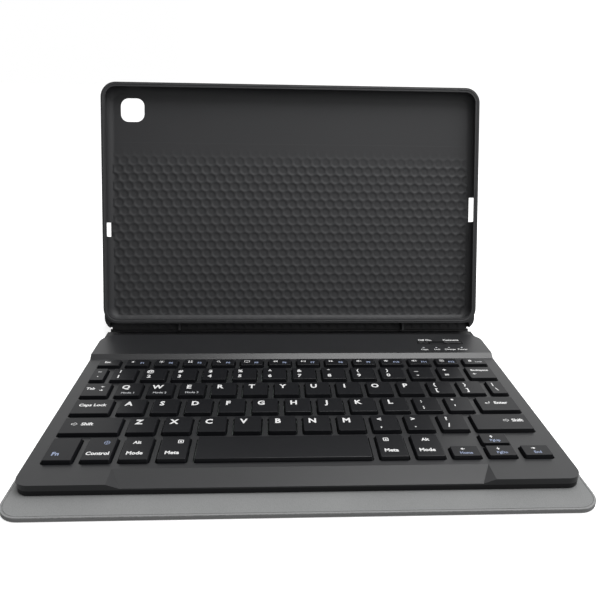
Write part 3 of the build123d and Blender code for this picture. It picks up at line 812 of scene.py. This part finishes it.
def makeCreases(values):
    front, rear, flap = flat(frontCrease), flat(rearCrease), flat(flapPivot)
    reach, deep = values["skinReach"] * mm, values["innerReach"] * mm
    lift = Vector((0, 1))
    top = lift * values["innerTop"] * mm - lift * front.y
    dip = lift * values["innerDip"] * mm
    plans = [
        (
            "front_crease_hide",
            [front - level * reach, front, front + level * reach],
            "skin",
            coverHalf,
            "front_cover",
            "spine",
            front,
            level,
            level,
        ),
        (
            "rear_crease_hide",
            [rear - level * reach, rear, rear + upright * reach],
            "skin",
            backHalf,
            "spine",
            "tray",
            rear,
            level,
            upright,
        ),
        (
            "flap_crease_hide",
            [flap - upright * reach, flap, flap + flapWay * reach],
            "skin",
            backHalf,
            "tray",
            "kickstand",
            flap,
            upright,
            flapWay,
        ),
        (
            "front_crease_inner",
            [
                front - level * deep + top,
                front - level * deep * 0.5 + top,
                front + dip * 0.2,
                front + level * deep * 0.5 + top,
                front + level * deep + top,
            ],
            "inner",
            liningHalf,
            "front_cover",
            "spine",
            front,
            level,
            level,
        ),
        (
            "rear_crease_inner",
            [
                rear - level * deep + top,
                rear - level * deep * 0.45 + top,
                rear - level * 0.6 * mm,
                rear + upright * deep * 0.6 + outward * mm,
                rear + upright * deep + outward * mm,
            ],
            "inner",
            liningHalf,
            "spine",
            "tray",
            rear,
            level,
            upright,
        ),
    ]
    for name, path, kind, half, first, second, centre, before, after in plans:
        mesh = stripMesh(name, path, values[kind + "Thickness"] * mm, half, values["steps"])
        piece = newPiece(name, mesh, blackHide)
        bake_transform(piece)


makeCreases(creases)
print("creases ready")


# ---- geometry node helpers
def newShapeTree(name, inputs):
    tree = bpy.data.node_groups.new(name, "GeometryNodeTree")
    tree.interface.new_socket("Geometry", in_out="INPUT", socket_type="NodeSocketGeometry")
    for label, kind, value in inputs:
        socket = tree.interface.new_socket(label, in_out="INPUT", socket_type="NodeSocket" + kind)
        if value is not None:
            socket.default_value = value
    tree.interface.new_socket("Geometry", in_out="OUTPUT", socket_type="NodeSocketGeometry")
    return tree, tree.nodes.new("NodeGroupInput").outputs, tree.nodes.new("NodeGroupOutput").inputs


def addShapeNode(tree, kind, links=(), **values):
    node = tree.nodes.new(kind)
    for label, value in values.items():
        setattr(node, label, value)
    for label, value in dict(links).items():
        if isinstance(value, bpy.types.NodeSocket):
            tree.links.new(value, node.inputs[label])
        else:
            node.inputs[label].default_value = value
    return node


def sum2(tree, operation, first, second, third=0.0):
    return addShapeNode(
        tree,
        "ShaderNodeMath",
        [(0, first), (1, second), (2, third)],
        operation=operation,
    ).outputs[0]


def growMesh(name, mesh, tree, values):
    host = bpy.data.objects.new(name + "_draft", mesh)
    scene.collection.objects.link(host)
    grow = host.modifiers.new("grow", "NODES")
    grow.node_group = tree
    for item in tree.interface.items_tree:
        if item.in_out == "INPUT" and item.name in values:
            grow[item.identifier] = values[item.name]
    grown = evaluated(host)
    host.modifiers.remove(grow)
    bpy.data.objects.remove(host)
    return grown


# ---- tray
seatBack = trayPlace.inverted()
rimOut = max((seatBack @ vertex.co).z for vertex in nodes["tray_shell"].data.vertices)
softened(
    "tray_shell",
    "tray_moulding",
    0.7,
    trayRubber,
    "tray",
    segments=3,
    bold=lambda point: (seatBack @ point).z > rimOut - 0.05 * mm,
    fine=0.4,
)
rimBead = {
    "rimWidth": 2.8,
    "corner": 7.3,
    "steps": 9,
    "profile": [
        (0.0, -0.75),
        (0.03, -0.66),
        (0.14, -0.52),
        (1.35, 0.17),
        (1.6, 0.24),
        (1.9, 0.17),
        (2.1, -0.05),
        (2.15, -0.3),
    ],
}


def makeRimBead(values):
    local = [seatBack @ vertex.co for vertex in nodes["tray_shell"].data.vertices]
    onRim = [point for point in local if point.z > rimOut - 0.05 * mm]
    half = max(point.x for point in onRim) - values["rimWidth"] * mm
    low = min(point.y for point in onRim) + values["rimWidth"] * mm
    high = max(point.y for point in onRim) - values["rimWidth"] * mm
    corner, steps = values["corner"] * mm, values["steps"]
    work = bmesh.new()
    rings = []
    for x, y, start in ((half, high, 0), (-half, high, 1), (-half, low, 2), (half, low, 3)):
        centre = Vector((x - math.copysign(corner, x), y - (corner if y == high else -corner), 0))
        for i in range(steps + 1):
            turn = (start + i / steps) * math.pi / 2
            way = Vector((math.cos(turn), math.sin(turn), 0))
            rings.append(
                [
                    work.verts.new(centre + way * (corner + s * mm) + Vector((0, 0, z * mm)))
                    for s, z in values["profile"]
                ]
            )
    for near, far in zip(rings, rings[1:] + rings[:1]):
        for i in range(len(near)):
            k = (i + 1) % len(near)
            work.faces.new((near[i], near[k], far[k], far[i]))
    bmesh.ops.recalc_face_normals(work, faces=work.faces)
    mesh = bpy.data.meshes.new("rim_bead")
    work.to_mesh(mesh)
    work.free()
    mesh.transform(trayPlace @ Matrix.Translation((0, 0, rimOut)))
    for polygon in mesh.polygons:
        polygon.use_smooth = True
    newPiece("rim_bead", mesh, trayRubber, "tray")


makeRimBead(rimBead)
honeycomb = {
    "Pitch": 6.5 * mm,
    "Ridge": 0.42 * mm,
    "Bowl": 1.9 * mm,
    "Rim": 3.15 * mm,
    "Fade Start": 108 * mm,
    "Fade End": 124 * mm,
}
honeycombPatch = {"gap": 0.2, "reach": 127.0, "across": 10, "up": 9}


def makeHoneycombTree():
    tree, given, result = newShapeTree(
        "floor_honeycomb",
        [
            ("Width", "Float", 0.24),
            ("Height", "Float", 0.13),
            ("Columns", "Int", 300),
            ("Rows", "Int", 160),
            ("Pitch", "Float", 0.0065),
            ("Ridge", "Float", 0.0004),
            ("Bowl", "Float", 0.002),
            ("Rim", "Float", 0.003),
            ("Fade Start", "Float", 0.1),
            ("Fade End", "Float", 0.13),
            ("Finish", "Material", None),
        ],
    )
    grid = addShapeNode(
        tree,
        "GeometryNodeMeshGrid",
        [
            ("Size X", given["Width"]),
            ("Size Y", given["Height"]),
            ("Vertices X", given["Columns"]),
            ("Vertices Y", given["Rows"]),
        ],
    )
    place = addShapeNode(
        tree,
        "ShaderNodeSeparateXYZ",
        [(0, addShapeNode(tree, "GeometryNodeInputPosition").outputs[0])],
    ).outputs
    halfPitch = sum2(tree, "MULTIPLY", given["Pitch"], 0.5)
    rowPitch = sum2(tree, "MULTIPLY", given["Pitch"], math.sqrt(0.75))

    def cellDistance(x, y):  # distance to the nearest centre of one of the two interleaved lattices
        across = sum2(tree, "WRAP", x, halfPitch, sum2(tree, "MULTIPLY", halfPitch, -1.0))
        up = sum2(tree, "WRAP", y, rowPitch, sum2(tree, "MULTIPLY", rowPitch, -1.0))
        return sum2(
            tree,
            "SQRT",
            sum2(
                tree,
                "ADD",
                sum2(tree, "POWER", sum2(tree, "ABSOLUTE", across, 0), 2.0),
                sum2(tree, "POWER", sum2(tree, "ABSOLUTE", up, 0), 2.0),
            ),
            0,
        )

    nearest = sum2(
        tree,
        "MINIMUM",
        cellDistance(place["X"], place["Y"]),
        cellDistance(sum2(tree, "ADD", place["X"], halfPitch), sum2(tree, "ADD", place["Y"], rowPitch)),
    )

    def smooth(value, low, high, toLow=0.0, toHigh=1.0):
        links = [
            ("Value", value),
            ("From Min", low),
            ("From Max", high),
            ("To Min", toLow),
            ("To Max", toHigh),
        ]
        return addShapeNode(
            tree,
            "ShaderNodeMapRange",
            links,
            interpolation_type="SMOOTHSTEP",
        ).outputs["Result"]

    ridge = sum2(tree, "MULTIPLY", smooth(nearest, given["Bowl"], given["Rim"]), given["Ridge"])
    height = sum2(tree, "ADD", place["Y"], sum2(tree, "MULTIPLY", given["Height"], 0.5))
    ridge = sum2(
        tree,
        "MULTIPLY",
        ridge,
        smooth(height, given["Fade Start"], given["Fade End"], 1.0, 0.0),
    )
    sideRoom = sum2(
        tree,
        "SUBTRACT",
        sum2(tree, "MULTIPLY", given["Width"], 0.5),
        sum2(tree, "ABSOLUTE", place["X"], 0),
    )
    endRoom = sum2(tree, "MINIMUM", height, sum2(tree, "SUBTRACT", given["Height"], height))
    room = sum2(tree, "MINIMUM", sideRoom, endRoom)
    ridge = sum2(tree, "MULTIPLY", ridge, smooth(room, 0.0, 0.002))
    lifted = sum2(tree, "ADD", ridge, smooth(room, 0.0, 0.0006, -0.00006, 0.00002))
    offset = addShapeNode(tree, "ShaderNodeCombineXYZ", [("Z", lifted)]).outputs[0]
    moved = addShapeNode(
        tree,
        "GeometryNodeSetPosition",
        [("Geometry", grid.outputs["Mesh"]), ("Offset", offset)],
    ).outputs[0]
    whole = addShapeNode(tree, "GeometryNodeRealizeInstances", [(0, moved)]).outputs[0]
    tree.links.new(
        addShapeNode(
            tree,
            "GeometryNodeSetMaterial",
            [("Geometry", whole), ("Material", given["Finish"])],
        ).outputs[0],
        result[0],
    )
    return tree


def makeHoneycomb(values, patch):
    seatPlace = Vector(mounts["tablet_seat"]["pos_m"])
    floorOut = (seatPlace - rearCrease).dot(seatNormal)
    back = trayPlace.inverted()
    onFloor = [back @ vertex.co for vertex in nodes["tray_shell"].data.vertices]
    onFloor = [point for point in onFloor if abs(point.z - floorOut) < 0.02 * mm]
    gap = patch["gap"] * mm
    low = min(point.y for point in onFloor) + gap
    high = low + patch["reach"] * mm
    width, height = 2 * (max(point.x for point in onFloor) - gap), high - low
    sizes = dict(values, Width=width, Height=height, Finish=trayRubber)
    sizes["Columns"] = round(width / values["Pitch"] * patch["across"]) + 1
    sizes["Rows"] = round(height / (values["Pitch"] * math.sqrt(0.75)) * patch["up"]) + 1
    mesh = growMesh("floor_honeycomb", bpy.data.meshes.new("floor_honeycomb"), makeHoneycombTree(), sizes)
    for polygon in mesh.polygons:
        polygon.use_smooth = True
    mesh.transform(trayPlace @ Matrix.Translation((0, (low + high) / 2, floorOut)))
    newPiece("floor_honeycomb", mesh, trayRubber, "tray")
    print(
        "honeycomb",
        round(width / mm, 1),
        "x",
        round(height / mm, 1),
        "mm,",
        len(mesh.polygons),
        "faces",
    )


makeHoneycomb(honeycomb, honeycombPatch)
print("tray ready")

# ---- stitched seams on the leather panels
stitching = {"Length": 2.3 * mm, "Step": 3.2 * mm, "Thickness": 0.42 * mm, "Seed": 7}
seamInset = {"inset": 1.1, "corner": 2.4, "out": 0.08}


def makeStitchTree():
    tree, given, result = newShapeTree(
        "seam_stitches",
        [
            ("Geometry Seed", "Int", 7),
            ("Length", "Float", 0.0023),
            ("Step", "Float", 0.0032),
            ("Thickness", "Float", 0.0004),
            ("Finish", "Material", None),
        ],
    )
    line = addShapeNode(tree, "GeometryNodeMeshToCurve", [("Mesh", given["Geometry"])]).outputs[0]
    dots = addShapeNode(
        tree,
        "GeometryNodeCurveToPoints",
        [("Curve", line), ("Length", given["Step"])],
        mode="LENGTH",
    ).outputs
    thread = addShapeNode(
        tree,
        "GeometryNodeMeshUVSphere",
        [("Segments", 6), ("Rings", 5), ("Radius", 0.5)],
    ).outputs["Mesh"]
    size = addShapeNode(
        tree,
        "ShaderNodeCombineXYZ",
        [("X", given["Thickness"]), ("Y", given["Thickness"]), ("Z", given["Length"])],
    ).outputs[0]
    along = addShapeNode(
        tree,
        "FunctionNodeAlignRotationToVector",
        [("Vector", dots["Tangent"])],
        axis="Z",
    ).outputs[0]
    vary = addShapeNode(
        tree,
        "FunctionNodeRandomValue",
        [("Seed", given["Geometry Seed"])],
        data_type="FLOAT",
    )
    vary.inputs[2].default_value, vary.inputs[3].default_value = 0.9, 1.05
    scaled = addShapeNode(
        tree,
        "ShaderNodeVectorMath",
        [(0, size), (3, vary.outputs[1])],
        operation="SCALE",
    ).outputs[0]
    row = addShapeNode(
        tree,
        "GeometryNodeInstanceOnPoints",
        [("Points", dots["Points"]), ("Instance", thread), ("Rotation", along), ("Scale", scaled)],
    ).outputs[0]
    whole = addShapeNode(tree, "GeometryNodeRealizeInstances", [(0, row)]).outputs[0]
    tree.links.new(
        addShapeNode(
            tree,
            "GeometryNodeSetMaterial",
            [("Geometry", whole), ("Material", given["Finish"])],
        ).outputs[0],
        result[0],
    )
    return tree


def seamPath(name, left, right, low, high, corner):
    points = []
    for x, y, start in ((right, high, 0), (left, high, 1), (left, low, 2), (right, low, 3)):
        centre = (x - math.copysign(corner, x), y - (corner if y == high else -corner))
        for i in range(7):
            turn = (start + i / 6) * math.pi / 2
            points.append((centre[0] + corner * math.cos(turn), centre[1] + corner * math.sin(turn), 0))
    mesh = bpy.data.meshes.new(name)
    mesh.from_pydata(points, [(i, (i + 1) % len(points)) for i in range(len(points))], [])
    return mesh


def stitchPanel(name, nodeName, place, outSide, body, inset, tree):
    back = place.inverted()
    corners = [back @ vertex.co for vertex in nodes[nodeName].data.vertices]
    face = max(corners, key=lambda point: point.z * outSide).z
    flatPart = [point for point in corners if abs(point.z - face) < 0.02 * mm]
    edge = inset["inset"] * mm
    half = max(point.x for point in flatPart) - edge
    low, high = min(point.y for point in flatPart) + edge, max(point.y for point in flatPart) - edge
    path = seamPath(name, -half, half, low, high, inset["corner"] * mm)
    sizes = dict(stitching, Finish=seamThread)
    sizes["Geometry Seed"] = sizes.pop("Seed")
    mesh = growMesh(name, path, tree, sizes)
    for polygon in mesh.polygons:
        polygon.use_smooth = True
    mesh.transform(place @ Matrix.Translation((0, 0, face + outSide * inset["out"] * mm)))
    newPiece(name, mesh, seamThread, body)
    print(name, len(mesh.polygons), "faces")


flapTurn = Matrix(
    (
        Vector((1, 0, 0)),
        Vector((0, flapWay.x, flapWay.y)),
        Vector((1, 0, 0)).cross(Vector((0, flapWay.x, flapWay.y))),
    )
).transposed()
flapPlace = Matrix.Translation(flapPivot) @ flapTurn.to_4x4()
stitchTree = makeStitchTree()
stitchPanel("back_seam", "back_skin", trayPlace, -1, "tray", seamInset, stitchTree)
stitchPanel("kickstand_seam", "kickstand_skin", flapPlace, -1, "kickstand", seamInset, stitchTree)
print("seams ready")

# ---- keyboard
deckEdge = {"frontCorner": 6.5, "rearCorner": 9.5, "round": 0.9, "fine": 0.25}
deckLow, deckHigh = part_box("keyboard_top_shell")


def onDeckEdge(point):
    middle = (deckLow.y + deckHigh.y) / 2
    corner = deckEdge["frontCorner" if point.y < middle else "rearCorner"] * mm
    side = abs(point.x) - deckHigh.x + corner
    end = abs(point.y - middle) - (deckHigh.y - deckLow.y) / 2 + corner
    outside = math.hypot(max(side, 0), max(end, 0)) + min(max(side, end), 0) - corner
    return abs(outside) < 0.1 * mm and point.z > deckLow.z + 0.3 * mm


softened(
    "keyboard_top_shell",
    "deck_moulding",
    deckEdge["round"],
    deckPlastic,
    "keyboard",
    segments=3,
    bold=onDeckEdge,
    fine=deckEdge["fine"],
)
softened("keyboard_bottom_shell", "base_moulding", 0.25, basePlastic, "keyboard")
softened("power_switch_slider", "switch_knob", 0.15, switchPlastic, "power_switch")
softened("pair_button", "pair_knob", 0.12, switchPlastic, "pair_button")
softened("indicator_lenses", "lamp_lenses", 0.08, lampLens, "keyboard")

keyNodes = [name for name in nodes if name.endswith(("_key", "_keys"))]
for name in keyNodes:
    softened(name, name.replace("_key", "_cap"), 0.35, capPlastic, name)
print("keyboard ready")

# ---- legends, printed on the keys and the deck, and a painted shade outline round the switch recess
printed = {"thickness": 0.03, "sunk": 0.01, "bold": 0.034, "smallBold": 0.018}
glyphs = {}


def glyph(text, bold):
    if (text, bold) not in glyphs:
        curve = bpy.data.curves.new("glyph", "FONT")
        curve.body = text
        curve.size = 1.0
        curve.offset = bold
        curve.resolution_u = 2
        host = bpy.data.objects.new("glyph", curve)
        scene.collection.objects.link(host)
        glyphs[(text, bold)] = evaluated(host)
        bpy.data.objects.remove(host)
        bpy.data.curves.remove(curve)
    return glyphs[(text, bold)]


def disc(x, y, radius, sides=14):
    return [
        (
            x + radius * math.cos(math.tau * i / sides),
            y + radius * math.sin(math.tau * i / sides),
        ) for i in range(sides)
    ]


def bar(x0, y0, x1, y1, width):
    along = Vector((x1 - x0, y1 - y0)).normalized() * width / 2
    side = Vector((-along.y, along.x))
    return [
        (x0 + side.x, y0 + side.y),
        (x0 - side.x, y0 - side.y),
        (x1 - side.x, y1 - side.y),
        (x1 + side.x, y1 + side.y),
    ]


def loop(x, y, radius, width, start=0.0, turn=math.tau, sides=16):
    rim = [
        (math.cos(start + turn * i / sides), math.sin(start + turn * i / sides)) for i in range(sides + 1)
    ]
    inner, outer = radius - width / 2, radius + width / 2
    return [
        [
            (x + a[0] * inner, y + a[1] * inner),
            (x + b[0] * inner, y + b[1] * inner),
            (x + b[0] * outer, y + b[1] * outer),
            (x + a[0] * outer, y + a[1] * outer),
        ]
        for a, b in zip(rim, rim[1:])
    ]


def rays(count, near, far, width):
    turns = [math.tau * i / count for i in range(count)]
    return [
        bar(
            near * math.cos(t),
            near * math.sin(t),
            far * math.cos(t),
            far * math.sin(t),
            width,
        ) for t in turns
    ]


def outline(points, width):
    return [bar(*a, *b, width) for a, b in zip(points, points[1:] + points[:1])]


speaker = [
    [(-0.5, -0.16), (-0.25, -0.16), (-0.25, 0.16), (-0.5, 0.16)],
    [(-0.25, -0.16), (0.02, -0.4), (0.02, 0.4), (-0.25, 0.16)],
]
forwardMark = [[(-0.45, -0.35), (-0.02, 0), (-0.45, 0.35)], [(0.0, -0.35), (0.43, 0), (0.0, 0.35)]]
shiftMark = outline(
    [(-0.5, 0.0), (0.0, 0.42), (0.0, 0.2), (0.5, 0.2), (0.5, -0.2), (0.0, -0.2), (0.0, -0.42)],
    0.09,
)
icons = {
    "dim": [disc(0, 0, 0.2)] + rays(8, 0.32, 0.4, 0.07),
    "bright": [disc(0, 0, 0.2)] + rays(8, 0.3, 0.5, 0.08),
    "grid": [bar(x, y - 0.15, x, y + 0.15, 0.3) for x in (-0.25, 0.25) for y in (-0.25, 0.25)],
    "search": loop(-0.08, 0.08, 0.26, 0.1) + [bar(0.12, -0.12, 0.42, -0.42, 0.12)],
    "screen": outline(
        [(-0.5, -0.25), (0.5, -0.25), (0.5, 0.35), (-0.5, 0.35)],
        0.09,
    ) + [bar(-0.2, -0.42, 0.2, -0.42, 0.1)],
    "list": [bar(-0.45, y, 0.45, y, 0.12) for y in (-0.3, 0.0, 0.3)],
    "back": [[(-x, y) for x, y in reversed(part)] for part in forwardMark],
    "play": [
        [(-0.42, -0.35), (0.02, 0), (-0.42, 0.35)],
        bar(0.16, -0.35, 0.16, 0.35, 0.12),
        bar(0.4, -0.35, 0.4, 0.35, 0.12),
    ],
    "forward": forwardMark,
    "mute": speaker + [bar(0.16, -0.18, 0.5, 0.18, 0.09), bar(0.16, 0.18, 0.5, -0.18, 0.09)],
    "quieter": speaker + loop(0.0, 0, 0.25, 0.09, -0.8, 1.6, 6),
    "louder": speaker + loop(0.0, 0, 0.25, 0.09, -0.8, 1.6, 6) + loop(0.0, 0, 0.45, 0.09, -0.8, 1.6, 8),
    "lock": [bar(-0.3, -0.2, 0.3, -0.2, 0.44)] + loop(0, 0.05, 0.2, 0.1, 0.0, math.pi, 8),
    "globe": loop(0, 0, 0.42, 0.08) + [bar(-0.42, 0, 0.42, 0, 0.07), bar(0, -0.42, 0, 0.42, 0.07)],
    "square": outline(
        [(-0.3, -0.3), (0.3, -0.3), (0.3, 0.3), (-0.3, 0.3)],
        0.12,
    ) + [bar(-0.12, 0, 0.12, 0, 0.24)],
    "shift": [[(-y, x) for x, y in part] for part in [[(q, p) for p, q in part] for part in shiftMark]],
    "left": [[(-0.45, 0), (0.05, -0.34), (0.05, 0.34)], bar(0.05, 0, 0.45, 0, 0.14)],
    "right": [[(0.45, 0), (-0.05, 0.34), (-0.05, -0.34)], bar(-0.45, 0, -0.05, 0, 0.14)],
    "up": [[(0, 0.45), (-0.34, -0.05), (0.34, -0.05)], bar(0, -0.45, 0, -0.05, 0.14)],
    "down": [[(0, -0.45), (0.34, 0.05), (-0.34, 0.05)], bar(0, 0.05, 0, 0.45, 0.14)],
    "return": [
        [(-0.5, -0.12), (-0.15, -0.4), (-0.15, 0.16)],
        bar(-0.2, -0.12, 0.42, -0.12, 0.12),
        bar(0.36, -0.12, 0.36, 0.36, 0.12),
    ],
}


def inkPlates(what, height):
    if what in icons:
        return [[Vector((x * height, y * height)) for x, y in part] for part in icons[what]]
    bold = printed["bold"] if height > 1.6 else printed["smallBold"]
    capital = glyph("H", 0.0)
    scale = height / max(vertex.co.y for vertex in capital.vertices)
    mesh = glyph(what, bold)
    middle = (min(v.co.x for v in mesh.vertices) + max(v.co.x for v in mesh.vertices)) / 2
    plates = []
    for polygon in mesh.polygons:
        corners = [mesh.vertices[i].co for i in polygon.vertices]
        plates.append([Vector(((c.x - middle) * scale, c.y * scale - height / 2)) for c in corners])
    return plates


def printMarks(name, marks, material, body):
    work = bmesh.new()
    for what, height, centre in marks:
        place = Vector((centre[0], centre[1], centre[2] + (printed["thickness"] - printed["sunk"]) * mm))
        corners = {}

        def vertex(point):
            key = (round(point.x, 4), round(point.y, 4))
            if key not in corners:
                corners[key] = work.verts.new(place + Vector((point.x * mm, point.y * mm, 0)))
            return corners[key]

        faces = []
        for plate in inkPlates(what, height):
            area = sum(a.x * b.y - a.y * b.x for a, b in zip(plate, plate[1:] + plate[:1]))
            ring = [vertex(point) for point in (plate if area > 0 else plate[::-1])]
            if what in icons:
                ring = [work.verts.new(v.co) for v in ring]
            if len(set(ring)) < 3:
                continue
            if work.faces.get(ring) is None:
                faces.append(work.faces.new(ring))
        thick = bmesh.ops.extrude_face_region(work, geom=faces, use_keep_orig=True)
        lowered = [item for item in thick["geom"] if isinstance(item, bmesh.types.BMVert)]
        bmesh.ops.translate(work, verts=lowered, vec=(0, 0, -printed["thickness"] * mm))
        bmesh.ops.reverse_faces(
            work,
            faces=[item for item in thick["geom"] if isinstance(item, bmesh.types.BMFace)],
        )
    loose = [v for v in work.verts if not v.link_faces]
    bmesh.ops.delete(work, geom=loose, context="VERTS")
    bmesh.ops.recalc_face_normals(work, faces=work.faces)
    mesh = bpy.data.meshes.new(name)
    work.to_mesh(mesh)
    work.free()
    return newPiece(name, mesh, material, body)


def letter(text):
    return [(text, 3.6, 0.34, 0.32, "white")]


def pair(upper, lower):
    return [(upper, 2.7, 0.30, 0.27, "white"), (lower, 2.9, 0.30, 0.71, "white")]


def function(icon, text):
    return [(icon, 3.0, 0.28, 0.42, "white"), (text, 1.7, 0.72, 0.62, "blue")]


def arrow(icon, text):
    return [(icon, 2.4, 0.42, 0.32, "white"), (text, 1.6, 0.5, 0.72, "blue")]


functionIcons = (
    "dim", "bright", "grid", "search", "screen", "back",
    "play", "forward", "mute", "quieter", "louder", "list",
)
legends = {
    "escape_key": [[("Esc", 1.8, 0.42, 0.45, "white")]],
    "function_keys": [function(icon, f"F{i + 1}") for i, icon in enumerate(functionIcons)],
    "lock_key": [[("lock", 3.0, 0.3, 0.42, "white"), ("Lock", 1.5, 0.68, 0.62, "grey")]],
    "backquote_key": [[("~", 2.2, 0.5, 0.28, "white"), ("`", 2.6, 0.5, 0.78, "white")]],
    "number_keys": [
        pair(*both) for both in ("!1", "@2", "#3", "$4", "%5", "^6", "&7", "*8", "(9", ")0", "_-", "+=")
    ],
    "backspace_key": [[("Backspace", 1.7, 0.5, 0.3, "white"), ("left", 2.6, 0.22, 0.64, "white")]],
    "tab_key": [
        [
            ("Tab", 2.1, 0.27, 0.42, "white"),
            ("left", 2.4, 0.7, 0.28, "white"),
            ("right", 2.4, 0.7, 0.56, "white"),
        ]
    ],
    "upper_letter_keys": [letter(text) for text in "QWERTYUIOP"] + [pair("{", "["), pair("}", "]")],
    "backslash_key": [[("|", 2.5, 0.32, 0.26, "white"), ("\\", 2.5, 0.42, 0.68, "white")]],
    "caps_lock_key": [[("Caps Lock", 2.2, 0.5, 0.4, "white")]],
    "home_letter_keys": [letter(text) for text in "ASDFGHJKL"] + [pair(":", ";"), pair('"', "'")],
    "enter_key": [[("return", 3.0, 0.24, 0.45, "white"), ("Enter", 2.2, 0.6, 0.45, "white")]],
    "left_shift_key": [[("shift", 2.8, 0.2, 0.42, "white"), ("Shift", 2.2, 0.42, 0.42, "white")]],
    "lower_letter_keys": [letter(text) for text in "ZXCVBNM"] + [
        pair("<", ","),
        pair(">", "."),
        pair("?", "/"),
    ],
    "right_shift_key": [[("shift", 2.8, 0.6, 0.42, "white"), ("Shift", 2.2, 0.8, 0.42, "white")]],
    "fn_key": [[("Fn", 2.4, 0.36, 0.72, "blue")]],
    "control_key": [[("globe", 3.0, 0.68, 0.24, "blue"), ("Control", 2.2, 0.5, 0.72, "white")]],
    "left_option_key": [[("Alt", 2.0, 0.45, 0.24, "white"), ("Mode", 2.2, 0.48, 0.72, "white")]],
    "left_command_key": [[("square", 3.6, 0.7, 0.22, "white"), ("Meta", 2.2, 0.48, 0.72, "white")]],
    "right_command_key": [[("square", 3.6, 0.34, 0.22, "white"), ("Meta", 2.2, 0.44, 0.72, "white")]],
    "right_option_key": [[("Alt", 2.0, 0.5, 0.24, "white"), ("Mode", 2.2, 0.44, 0.72, "white")]],
    "left_arrow_key": [arrow("left", "Home")],
    "up_arrow_key": [arrow("up", "PgUp")],
    "down_arrow_key": [arrow("down", "PgDn")],
    "right_arrow_key": [arrow("right", "End")],
}
subWords = {"upper_letter_keys": {0: "Mode 1", 1: "Mode 2", 2: "Mode 3"}}
inks = {"white": legendInk, "blue": blueInk, "grey": greyInk}


def printKeys():
    for nodeName, labels in legends.items():
        marks = {}
        for i, ((low, high), label) in enumerate(zip(keyBoxes(nodeName), labels)):
            extra = [
                (word, 1.6, 0.5, 0.78, "grey") for word in [subWords.get(nodeName, {}).get(i)] if word
            ]
            for what, height, across, down, ink in label + extra:
                x = low.x + (high.x - low.x) * across
                y = high.y - (high.y - low.y) * down
                marks.setdefault(ink, []).append((what, height, (x, y, high.z)))
        for ink, group in marks.items():
            name = nodeName.replace("_keys", "").replace("_key", "")
            printMarks(f"{name}_{ink}_legend", group, inks[ink], nodeName)


# line is the width of the painted shade outline round the switch recess
deckLabels = {"above": 3.9, "below": 2.6, "height": 1.6, "travel": 3.0, "line": 0.5, "room": 0.6}


def topSpots(nodeName, apart=2.0):
    points = [vertex.co for vertex in nodes[nodeName].data.vertices]
    top = max(point.z for point in points)
    spots = []
    for point in sorted(
        (point for point in points if point.z > top - 0.01 * mm),
        key=lambda point: point.x,
    ):
        if not spots or point.x - spots[-1][-1].x > apart * mm:
            spots.append([])
        spots[-1].append(point)
    return [sum(spot, Vector()) / len(spot) for spot in spots]


def printDeck(values):
    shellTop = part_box("keyboard_top_shell")[1].z
    marks = []
    for spot, word in zip(topSpots("indicator_lenses"), ("Caps", "Link", "Charge", "Power")):
        marks.append((word, values["height"], (spot.x, spot.y - values["below"] * mm, shellTop)))
    switch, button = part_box("power_switch_slider"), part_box("pair_button")
    switchLine = (switch[0].y + switch[1].y) / 2
    places = (
        ("Off On", (switch[0].x + switch[1].x) / 2 + values["travel"] * mm / 2),
        ("Connect", (button[0].x + button[1].x) / 2),
    )
    for word, x in places:
        marks.append((word, values["height"] * 1.25, (x, switchLine + values["above"] * mm, shellTop)))
    printMarks("deck_label", marks, legendInk, "keyboard")
    # a thin dark outline round the switch and button recess: painted shade standing in for the shadow of the
    # recess walls
    start, end = switch[0].x - values["room"] * mm, button[1].x + values["room"] * mm
    half, rise = (end - start) / mm / 2 + 0.3, (switch[1].y - switch[0].y) / mm / 2 + 0.6
    icons["frame"] = outline([(-half, -rise), (half, -rise), (half, rise), (-half, rise)], values["line"])
    printMarks(
        "recess_shade_line",
        [("frame", 1.0, ((start + end) / 2, switchLine, shellTop))],
        recessShadeInk,
        "keyboard",
    )


printKeys()
printDeck(deckLabels)
print("legends ready")
